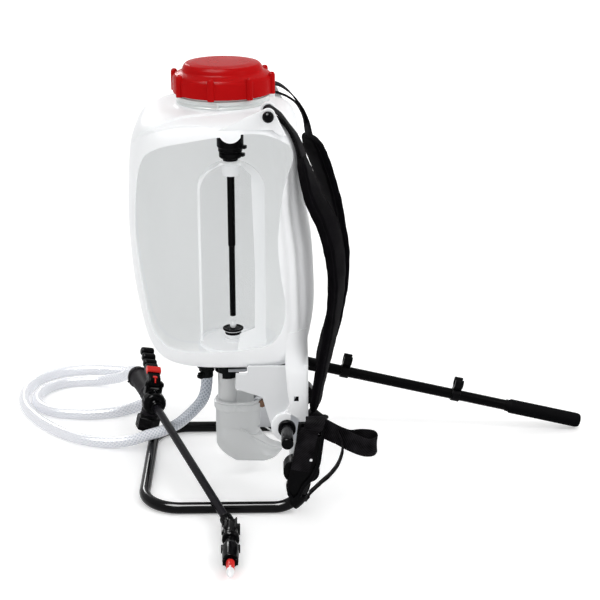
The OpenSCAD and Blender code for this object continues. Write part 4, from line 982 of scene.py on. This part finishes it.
# Stand brackets: two oval nylon saddles that clamp the upturned ends of the stand to the skirt.
# Each has a sleeve round the tube.
saddle = np.concatenate([
    arc(centre, 14, start, start + 90, 8)
    for centre, start in (((104, 62.5), 0), ((86, 62.5), 90), ((86, 59.5), 180), ((104, 59.5), 270))
])
sleeve_profile = softened([(7.6, 45), (8.9, 45), (8.9, 85), (7.6, 85)], 0.5)
of_bracket = (satin_black, "black_plastic", "frame_brackets")
for side, sign in both_sides:
    plate(f"{side}_stand_saddle", saddle, sign * -133.5, sign * -110.2, 2.0, *of_bracket, segments=3)
    upright = (rise_x + rise_r, sign * -frame_y, 0)
    spun(f"{side}_stand_sleeve", 48, upright, *of_bracket, sleeve_profile, closed=True)

# Harness pads: foam shoulder pads in black polyester, sewn round their edges to the webbing.
# Each is crowned, pulled in along its seams and slightly creased.
pad_w, pad_t, pad_sides, channel_at, channel_press, channel_width = 54.0, 13.0, 56, 0.7, 0.34, 0.045
pad_roundness, end_power, end_taper = 0.62, 12, 0.4
near_pad_path = [
    [96, -79, 456, 8], [103, -84, 432, 14], [111, -88, 408, 20], [126, -90, 378, 24], [135, -91, 348, 24],
    [139, -92, 318, 22], [139, -92, 286, 20], [135, -92, 254, 18], [130, -92, 222, 17], [123, -92, 188, 15],
    [116, -92, 154, 12], [112, -92, 132, 8],
]
far_pad_path = [
    [112, 80, 445, -26], [117, 84, 429, -30], [127, 87, 402, -28], [139, 89, 366, -23], [148, 90, 328, -18],
    [154, 90, 290, -16], [154, 90, 252, -15], [150, 90, 216, -13], [144, 90, 184, -12], [134, 90, 148, -10],
    [125, 90, 118, -8],
]


def strip_frames(path):
    """Points, directions across and outward normals of a strip. Its path gives places, a turn of its width
    from Y and, where the width also rises from level, that angle."""
    spine = path[:, :3]
    t = unit(np.gradient(spine, axis=0))
    a = np.radians(path[:, 3])
    rise = np.radians(path[:, 4]) if path.shape[1] > 4 else 0 * a
    across = np.stack([np.sin(a) * np.cos(rise), np.cos(a) * np.cos(rise), np.sin(rise)], -1)
    across = unit(across - np.sum(across * t, -1, keepdims=True) * t)
    return spine, across, np.cross(across, t)


def strip(path, section):
    """Rings of a strip: a section of offsets across and outwards, which may change along it."""
    spine, across, out = strip_frames(path)
    return spine[:, None] + section[..., 0:1] * across[:, None] + section[..., 1:2] * out[:, None]


def pad_taper(stations):
    """Places along a pad and the share of its width kept there: one, less a power that shows at both ends."""
    u = np.linspace(0, 1, stations)[:, None]
    return u, 1 - np.abs(2 * u - 1) ** end_power * end_taper


def pad_section(stations, phase):
    """A flat oval, narrower at its ends, with two sewn channels pressed in and slow creases across it."""
    u, taper = pad_taper(stations)
    a = round_angles(pad_sides)[None]
    x = np.sign(np.cos(a)) * np.abs(np.cos(a)) ** pad_roundness
    seam = 1 - channel_press * bell(np.abs(x), channel_at, channel_width)
    crease = 1 + 0.05 * np.sin(41 * u + phase + 2 * x) + 0.04 * np.sin(97 * u + 3 * phase - 3 * x)
    edge = 1 + 0.012 * np.sin(130 * u + phase) * np.sign(np.cos(a))
    return np.stack([pad_w / 2 * taper * x * edge, pad_t / 2 * taper * np.sin(a) * seam * crease], -1)


def seam_stitches(path, share, pitch=4.2, length=2.7, thick=0.42):
    """Stitches in a pad's sewn channel: short threads, thin at both ends, at a pitch along its outer face."""
    spine, across, out = strip_frames(path)
    _, taper = pad_taper(len(path))
    lift = np.sin(np.arccos(abs(share) ** (1 / pad_roundness))) * 0.66
    seam = spine + pad_w / 2 * share * taper * across + (pad_t / 2 * lift * taper + 0.1) * out
    run = run_along(seam)
    starts = np.arange(12, run[-1] - 12, pitch)
    stations = starts[:, None] + length * np.linspace(0, 1, 4)
    places, sides, ups = (
        np.stack([np.interp(stations, run, f[:, k]) for k in range(3)], -1)[:, :, None]
        for f in (seam, across, out)
    )
    a = round_angles(6)[None, None, :, None]
    radius = thick * np.array([0.45, 1, 1, 0.45])[None, :, None, None]
    return list(places + radius * (np.cos(a) * sides + np.sin(a) * ups))


# The Shade output is painted light and shade on the weave, lighter on thread tops and darker between them,
# plus a random fuzz.
weave, given, wanted = group(
    "woven_cloth",
    {"Vector": "vector", "Pitch": "value", "Slant": "value"},
    {"Height": "value", "Shade": "value"},
)
across_uv, along_uv, _ = add(weave, "ShaderNodeSeparateXYZ", Vector=given["Vector"]).outputs
per_thread = maths(weave, "DIVIDE", 2 * math.pi, given["Pitch"])
warp, weft = (maths(weave, "MULTIPLY", way, per_thread) for way in (across_uv, along_uv))
diagonal = maths(weave, "SINE", maths(weave, "MULTIPLY_ADD", weft, given["Slant"], warp))
ribbing = maths(weave, "SINE", maths(weave, "MULTIPLY", weft, 2.0))
woven = maths(weave, "MULTIPLY_ADD", ribbing, 0.3, diagonal)
fuzz = add(weave, "ShaderNodeTexNoise", Vector=given["Vector"], Scale=55.0, Detail=3.0).outputs[0]
thread_height = maths(weave, "MULTIPLY_ADD", woven, 0.38, 0.5)
plug(weave, wanted, Height=thread_height, Shade=maths(weave, "MULTIPLY_ADD", woven, 0.12, fuzz))


def cloth(name, dark, light, pitch_mm, slant, depth, roughness):
    """Woven black polyester: threads on the piece's own map, painted lighter on their tops and darker between
    them as light and shade fall on the weave, with a soft sheen.
    """
    made, tree, shader = new_finish(name)
    threads = add(
        tree, "ShaderNodeGroup", {"node_tree": weave},
        Vector=add(tree, "ShaderNodeUVMap").outputs[0], Pitch=pitch_mm * mm, Slant=slant,
    ).outputs
    shade = blended(tree, ranged(tree, threads["Shade"], 0.25, 0.8), (*dark, 1), (*light, 1))
    bump = add(tree, "ShaderNodeBump", Strength=0.6, Distance=depth * mm, Height=threads["Height"])
    plug(
        tree, shader, Base_Color=shade, Normal=bump.outputs[0], Roughness=roughness, Sheen_Weight=0.004,
        Sheen_Tint=(0.5, 0.45, 0.55, 1), Specular_IOR_Level=0.012,
    )
    return made


pad_cloth = cloth("pad_polyester", (0.0006, 0.0005, 0.0008), (0.0034, 0.0028, 0.004), 1.6, 1.0, 0.25, 0.66)
thread = moulded("sewing_thread", (0.035, 0.034, 0.036), 0.6, 0.3, 4000.0, 0.2, 0.1, 0.1)
for side, route, phase in (("near", near_pad_path, 0.4), ("far", far_pad_path, 2.1)):
    path = spline(route, 14)
    rings = strip(path, pad_section(len(path), phase))
    girth = np.linspace(0, 2 * (pad_w + pad_t), pad_sides + 1)
    pad = skin(f"{side}_shoulder_pad", [rings], lengths=[(run_along(path[:, :3]), girth)], sharp=70)
    fit(pad, pad_cloth, "padding", f"{side}_pad")
    stitches = [stitch for share in (-channel_at, channel_at) for stitch in seam_stitches(path, share)]
    form(f"{side}_pad_stitching", stitches, thread, "padding")

# Webbing: black woven polyester tape. The upper lengths go round the ears' pins, the lower ones go to
# the stand: over the near hook's bar, and round the far bend's clip. A spare loop hangs from the near hook.
web_w, web_t, web_y, wrap_r, bend_r = 24.0, 1.8, 78.5, 5.9, 52.4
pin_wrap = arc((ear_x, ear_z), wrap_r, 60, 270, 8)
near_rise = [[107.6, 437], [100.6, 449], [96.2, 464], [89.8, 481], [80.2, 495.6], [70.6, 508.4]]
near_return = [[66, 504], [73.5, 499.6], [80.5, 491.5], [87.6, 477.5], [92.6, 462], [94, 447]]
near_upper = [*near_rise, *pin_wrap, *near_return]
near_turns = np.interp(np.arange(len(near_upper)), [0, 2, 4, 15, 19], [16, 15, 2, 2, 12])
far_rise = [[112.4, 437], [109, 451], [105.8, 467], [98.4, 485.5], [86, 502.5], [72, 513.5]]
far_return = [[65, 504.4], [74, 501.6], [83.5, 497], [93, 489.2], [100.4, 476], [104.4, 462]]
far_upper = [[x, web_y, z, -26 * max(0, 1 - k / 6), 0] for k, (x, z) in enumerate([*far_rise, *pin_wrap])]
far_upper += [[x, web_y, z, 0, -15] for x, z in far_return]
near_lower = [
    [112, -92, 131.9, 8], [112.3, -92.5, 127, 10], [115, -96, 123, 22], [118, -104, 122.5, 45],
    [116.5, -115, 125.5, 75], [112.5, -125, 131, 88], [112.4, -133, 136.4, 90], [112.3, -139.5, 139.4, 90],
    [111.8, -146, 138, 90], [110.8, -149, 134, 90], [109, -147.6, 128, 90], [106.2, -143.2, 123, 90],
    [102.8, -142.5, 115, 90], [98, -142.4, 92, 90], [93, -142.4, 67, 90],
]
far_bend, near_bend = (
    arc((rise_x, rise_r + frame_r), bend_r, *span) for span in ((-31, -53, 4), (-25, -37, 3))
)
far_lower = [
    [125, 90, 117.9, -8], [123.5, 90.5, 112, -8], [125, 94, 102, -7], [129, 104, 80, -3], [127, 114, 56, 0],
    [117, 119, 36, 0], *[[x, 121, z, 0] for x, z in far_bend],
]
spare_route = [
    [120, -125, 121], [130, -128, 116], [143.4, -131, 109], [158.6, -132, 100.5], [174, -131, 93.5],
    [184, -128, 91.5], [189, -123, 92.5], [189.6, -118, 94.6], [185, -113, 97], [171, -111, 97.5],
    [156, -112, 97], [141, -114, 103], [127, -117, 112],
]
tail_route = [
    [141, -134.6, 117], [145, -134.4, 105], [146.4, -132, 90], [141.7, -127, 70], [132, -123, 53],
    [120.5, -120, 40], *[[x, -118, z] for x, z in near_bend],
]
spare_loop, spare_tail = (
    [[*place, 0, rise] for place in route] for route, rise in ((spare_route, 90), (tail_route, -16))
)
web_half = np.array([[-1, -0.7], [-0.96, -1], [0.96, -1], [1, -0.7]])
web_half = np.concatenate([web_half, -web_half])
web_ring = web_half * [web_w / 2, web_t / 2]
web_across = run_along(np.vstack([web_ring, web_ring[:1]]))
web_cloth = cloth("twill_webbing", (0.0004, 0.0004, 0.0005), (0.019, 0.0175, 0.02), 3.0, 0.75, 0.4, 0.6)


def tape(name, solid, *routes):
    """Lengths of webbing, each a thin rectangle with rounded edges carried along its route."""
    paths = [spline(route, 10) for route in routes]
    rings = [strip(p, np.broadcast_to(web_ring, (len(p), 8, 2))) for p in paths]
    lengths = [(run_along(p[:, :3]), web_across) for p in paths]
    return form(name, rings, web_cloth, "webbing", solid, lengths=lengths, sharp=50)


tape("near_upper_webbing", "near_upper_web", [[x, -web_y, z, a] for (x, z), a in zip(near_upper, near_turns)])
tape("far_upper_webbing", "far_upper_web", far_upper)
tape("near_lower_webbing", "near_lower_web", near_lower)
tape("far_lower_webbing", "far_lower_web", far_lower)
tape("spare_webbing", "web_tail", spare_loop, spare_tail)

# Strap hooks: a black nylon plate that the near strap's tape is threaded on, with a rounded rim and a rivet,
# and a snap clip on each bend of the stand.
hook_outline = [
    [91, 131], [124, 131], [121, 107], [117, 72], [109, 54], [99, 42], [93, 28], [84, 22], [77, 32], [75, 45],
    [79, 60], [84, 85], [88, 107],
]
hook_recess = [
    [94, 110], [118, 110], [113, 74], [105, 57], [95, 45], [90, 33], [85, 28], [80, 35], [79, 46], [83, 61],
    [88, 85],
]
hook_slot = [[94, 113], [119, 113], [120, 121], [95, 121]]
hook_edge = [[122, 112], [119.4, 90], [116.4, 72], [108.6, 54.6], [98.6, 42.6], [92.6, 29]]
hook_bead = tube(spline([[x, -140, z] for x, z in hook_edge], 8), 1.5, 12)
form("hook_rim", [hook_bead], bright_black, "black_plastic")
hook_plate = prism("strap_hook", hook_outline, -140.5, -134)
slot_tool = prism("hook_slot_tool", hook_slot, -150, -130)
cut_away(hook_plate, prism("recess_tool", hook_recess, -150, -137), slot_tool)
fit(bevelled(hook_plate, 1.4, 3, 30), bright_black, "black_plastic", "near_hook")
clip_section = np.concatenate([arc((0, 0), 10.9, 38, 322, 30), arc((0, 0), 7.7, 322, 38, 30)])


def bend_clip(sign):
    """Rings of an open C carried round the stand's bend: places along the bend's radius and along Y."""
    a = np.radians(np.linspace(-55, -29, 16))[:, None]
    out = rise_r - clip_section[None, :, 0]
    side = sign * (frame_y - clip_section[None, :, 1])
    return np.stack([rise_x + out * np.cos(a), -side + 0 * a, rise_r + frame_r + out * np.sin(a)], -1)


for side, sign in both_sides:
    form(f"{side}_bend_clip", [bend_clip(sign)], satin_black, "black_plastic", f"{side}_hook")
rivet_profile = softened([(0, 0.9), (1.1, 0.8), (1.8, 0.2), (1.9, -1.5), (0, -1.5)], 0.3)
rivet = put(lathe(rivet_profile, 24), (106.7, -143.2, 82), turn("X", 90))
turned("hook_rivet", [rivet], white_part, "white_plastic")

# Gun: a black nylon valve body with a ribbed trigger lever, held at its back by the hose nut.
# A red slide locks the trigger; the valve's cap closes it below.
gun_at, gun_turn = (-108, 90, 61.5), turn("Z", 107) @ turn("X", 13)


def on_gun(grid):
    """A grid moved from the gun's frame, X back along it and Z up through its trigger, to its place."""
    return put(grid, gun_at, gun_turn)


def on_trigger(grid):
    """A grid moved from the trigger's frame, X along its lever from the pivot, to its place."""
    return on_gun(put(grid, (14, 0, 21.4), turn("Y", -20)))


body_profile = softened([
    (8, 0), (8, 11.5), (30, 11.5), (32, 12.2), (36, 12.2), (38, 11.6), (70, 12.6), (92, 14), (92, 0),
], 1.0)
column_profile = softened([
    (0, 2), (12.4, 2), (12.4, -8), (11.4, -9), (11.4, -12), (12.4, -13), (12.4, -20), (0, -20),
], 0.8)
stud_profile = softened([(0, 4), (5, 4), (5, 14.4), (4.2, 15), (0, 15)], 0.5)
column, stud = put(lathe(column_profile, 56), (8, 0, 0)), put(lathe(stud_profile, 32), (40, 0, 0))
gun_grids = [along_x(body_profile), column, stud]
matt_nylon = moulded("matt_black_nylon", (0.014, 0.0125, 0.015), 0.55, 0.4, 1800.0, 0.2, 0.1, 0.05)
turned("gun_valve_body", [on_gun(g) for g in gun_grids], matt_nylon, "black_plastic", "gun_body")
gun_blocks = [box_grid((8, -12, 6), (20, 12, 15.6), 1.2)]
gun_blocks += [box_grid((9, y, 8), (18.5, y + 3.1, 26), 1.0) for y in (-12, 8.9)]
form("gun_cross_plate", [on_gun(g) for g in gun_blocks], satin_black, "black_plastic", "gun_body")
union_profile = softened([
    (92, 9), (92, 14), (94, 14), (94, 16), (96.5, 16.2), (99, 16), (99, 14.6), (106, 14), (108, 12),
    (108, 7.9), (97, 7.9), (97, 9),
], 0.5)
tooth = put(box_grid((-1.4, -1, 15.4), (1.4, 1, 17.6), 0.4), (96.5, 0, 0))
teeth = [put(tooth, (0, 0, 0), turn("X", a)) for a in (-30, 20, 70, 150, 240)]
union_grids = [on_gun(g) for g in (along_x(union_profile, 64, True), *teeth)]
turned("hose_union_nut", union_grids, matt_nylon, "black_plastic", "hose_nut")
cap_profile = softened([
    (0, -20.1), (13.2, -20.1), (13.2, -24), (15.6, -24.4), (16.2, -26), (16.4, -34), (16, -34.6), (16, -35.6),
    (16.4, -36.2), (16.2, -42), (14.6, -43.4), (0, -43.4),
], 0.4)
from_corner = np.mod(turns_of, math.pi / 3) - math.pi / 6
six_flats = 0.9 * (math.cos(math.pi / 6) / np.cos(from_corner) * 1.07 - 1)
valve_cap = swollen(cap_profile, cap_profile[:, 1] < -24.2, six_flats)
turned("valve_bottom_cap", [on_gun(put(valve_cap, (8, 0, 0)))], satin_black, "black_plastic", "valve_cap")
lever_outline = [
    [-2, -4.6], [30, -4], [71.5, -3], [75.5, 0], [75.5, 3], [39.5, 3.5], [35.5, 9], [8, 9], [3, 8], [-2, 4.6],
    [-4.6, 0],
]
blade = on_trigger(slab(lever_outline, -8.5, 8.5))
of_trigger = (satin_black, "black_plastic", "trigger_lever")
bevelled(form("trigger_blade", [blade], *of_trigger, body="trigger"), 1.6, 3)
ridge_profile = softened([(0, -9.6), (4.4, -9.6), (6.1, -7.8), (6.1, 7.8), (4.4, 9.6), (0, 9.6)], 1.6)
ridge = put(lathe(ridge_profile, 32), (0, 0, 1.5), turn("X", 90))
finger_ridges = [on_trigger(put(ridge, (x, 0, 0))) for x in (44.5, 57.5, 70.5)]
turned("trigger_ridges", finger_ridges, *of_trigger, body="trigger")
red_slide = moulded("red_nylon", (0.8, 0.028, 0.022), 0.3, 0.2, 900.0, 0.2, 0.04, 0.12)
slide_outline = [[15.6, 9.1], [26.4, 9.1], [26.4, 11.6], [24, 13.2], [17.6, 12.6], [15.6, 11.4]]
of_slide = (red_slide, "red_plastic", "trigger_lock")
bevelled(form("lock_slide", [on_trigger(slab(slide_outline, -10, 10))], *of_slide, body="lock"), 0.8, 3)
lips = [on_trigger(box_grid((15.6, y, 5.1), (26.4, y + 1.2, 10), 0.4)) for y in (-10, 8.8)]
form("lock_lips", lips, *of_slide, body="lock")
mark_outline = [[-2.2, 5.0], [3, 8.1], [8, 9.1], [8, 9.7], [2.8, 8.7], [-2.5, 5.6]]
mark = [slab(mark_outline, -0.9, 0.9), box_grid((4.2, -3, 8.6), (7.8, 3, 9.7), 0.4)]
form("lock_mark", [on_trigger(g) for g in mark], red_slide, "red_plastic", body="trigger")

# Wand: a black tube screwed into the gun's front by a fluted nut.
# A collar seals it, and a cranked holder on its end carries the nozzle.
wand_turn = turn("Z", -67.2) @ turn("Y", 9.85)
lay_along_x = np.array([[0, 0, 1], [1, 0, 0], [0, 1, 0]])


def ribbed(profile, middle, half, swell):
    """A turned piece along X, from pairs of place and radius, whose radius swells round it within a band."""
    band = np.abs(profile[:, 0] - middle) < half
    return put(swollen(profile[:, ::-1], band, swell), (0, 0, 0), lay_along_x)


nut_profile = softened([
    (-12, 8), (-12, 12), (-11, 14.6), (-8, 16.2), (-6.5, 16.4), (3, 16.4), (5.6, 15.8), (7.4, 14.4),
    (8, 12.6), (8, 8),
], 0.8)
front_nut = on_gun(ribbed(nut_profile, -1, 5.6, 0.02 * np.cos(14 * turns_of)))
collar_profile = softened([(0, 0), (0, 10), (9.5, 9.6), (11, 8.6), (14.5, 8.2), (15.5, 7.4), (15.5, 0)], 0.6)
collar = put(along_x(collar_profile), gun_at, wand_turn)
turned("wand_front_nut", [front_nut, collar], bright_black, "black_plastic", "wand_nut")
wand_paint = moulded("grey_black_tube", (0.011, 0.0098, 0.013), 0.24, 0.3, 700.0, 0.15, 0.03, 0.08)
wand_bar = put(along_x(softened([(6, 0), (6, 5.5), (288, 5.5), (288, 0)], 0.5)), gun_at, wand_turn)
turned("wand_bar", [wand_bar], wand_paint, "black_tube", "wand_tube")

# Nozzle: the holder's finned socket, a black swivel cap with two wings, and a red core with a white cone tip.
# The cap turns on the core; all are moulded in nylon and acetal.
nozzle_at, nozzle_turn, knuckle_r = (6, -181, 13), turn("Z", -89.2) @ turn("Y", 0.6), 7.4


def on_nozzle(grid):
    """A grid moved from the nozzle's frame, X out along its jet, to its place."""
    return put(grid, nozzle_at, nozzle_turn)


def around_jet(low, high, angles, edge=0.5):
    """Blocks at those angles round the jet's axis, each given along it, to both sides and outwards."""
    return [on_nozzle(put(box_grid(low, high, edge), (0, 0, 0), turn("X", a))) for a in angles]


ferrule_profile = softened([
    (279, 5.6), (279, 7.2), (281, 8.2), (290, 8.2), (292, 7.4), (300, 6.6), (302, 4), (302, 0),
], 0.5)
ferrule = put(ribbed(ferrule_profile, 285.5, 4.4, 0.025 * np.cos(18 * turns_of)), gun_at, wand_turn)
knuckle = [(knuckle_r * math.sin(a), -knuckle_r * math.cos(a)) for a in np.linspace(0, math.pi, 20)]
holder_profile = softened([
    (0, 0), (0, 7), (8, 7.6), (22, 9), (30, 9.2), (31.6, 10.4), (33, 10.8), (36, 10.8), (36, 0),
], 0.5)
holder = [ferrule, put(lathe(knuckle, 40), nozzle_at), on_nozzle(along_x(holder_profile))]
turned("nozzle_holder", holder, bright_black, "black_plastic", "nozzle_elbow")
fins = around_jet((-3, -0.9, 4), (24, 0.9, 11.6), (40, 95, 140, 220, 265, 320))
form("nozzle_fins", fins, bright_black, "black_plastic", "nozzle_elbow")
swivel_profile = softened([
    (36.2, 0), (36.2, 10.2), (37, 10.8), (39, 10.8), (40.6, 9.4), (41, 6.9), (52, 6.7), (53, 5.6), (92, 5.6),
    (92, 0),
], 0.4)
turned("nozzle_core", [on_nozzle(along_x(swivel_profile))], bright_black, "black_plastic", "nozzle_nut")
shell_profile = softened([
    (51.6, 6.9), (52.4, 8), (55, 9.6), (60, 10.6), (70, 10.5), (88, 9.8), (89.4, 9.2), (89.4, 5.8), (54, 5.8),
    (54, 6.9),
], 0.4)
cap_shell = on_nozzle(along_x(shell_profile, 64, True))
turned("swivel_cap", [cap_shell], bright_black, "black_plastic", "nozzle_cap", body="nozzle")
wings = around_jet((54, -3, 8), (66, 3, 11.8), (90, 270), 0.8)
wings += around_jet((82, -4.2, 6.2), (92.5, 4.2, 9.4), (90, 270), 0.9)
form("swivel_cap_wings", wings, bright_black, "black_plastic", "nozzle_cap", body="nozzle")
core_profile = softened([(88, 0), (88, 5.1), (110, 5.1), (110.6, 4.7), (110.6, 0)], 0.3)
red_core = skin("red_core", [on_nozzle(along_x(core_profile))], caps=False)
cut_away(red_core, skin("slit_tool", [on_nozzle(box_grid((101.5, -1.1, 2.5), (114, 1.1, 8), 0.3))]))
fit(red_core, red_slide, "red_plastic", "nozzle_tip")
cone_profile = softened([
    (104, 0), (104, 4), (110.4, 4.9), (116, 4.7), (121, 3.6), (124.6, 1.4), (125, 0),
], 0.8)
turned("white_jet_cone", [on_nozzle(along_x(cone_profile))], white_part, "white_plastic", "nozzle_tip")

# Small parts that stay as packed: seals, strainer, crank, pins and the valve's stem and ball.
# Each takes the finish of its slot, but the trigger pin and the valve's stem take satin black; solids that a
# piece stands for get one too, and stay hidden.
copper = moulded("copper_plated_steel", (0.16, 0.095, 0.065), 0.34, 0.3, 1200.0, 0.2, 0.04, Metallic=1.0)
finishes = {
    "black_plastic": satin_black, "black_tube": satin_tube, "rubber": matt_rubber,
    "clear_plastic": clear_poly, "steel": steel, "copper": copper, "white_plastic": white_part,
    "red_plastic": red_slide, "white_tank": white_poly, "padding": pad_cloth, "webbing": web_cloth,
    "hose_plastic": hose_wall,
}
for part in frame["record"]["subparts"]:
    node = solids[part["node"]]
    dark = part["node"] in ("trigger_pin", "valve_stem")
    node.data.materials.clear()
    node.data.materials.append(satin_black if dark else finishes[part["material_slot"]])

size = {"cad": cad_box, "visual": [list(corner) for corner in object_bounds()]}
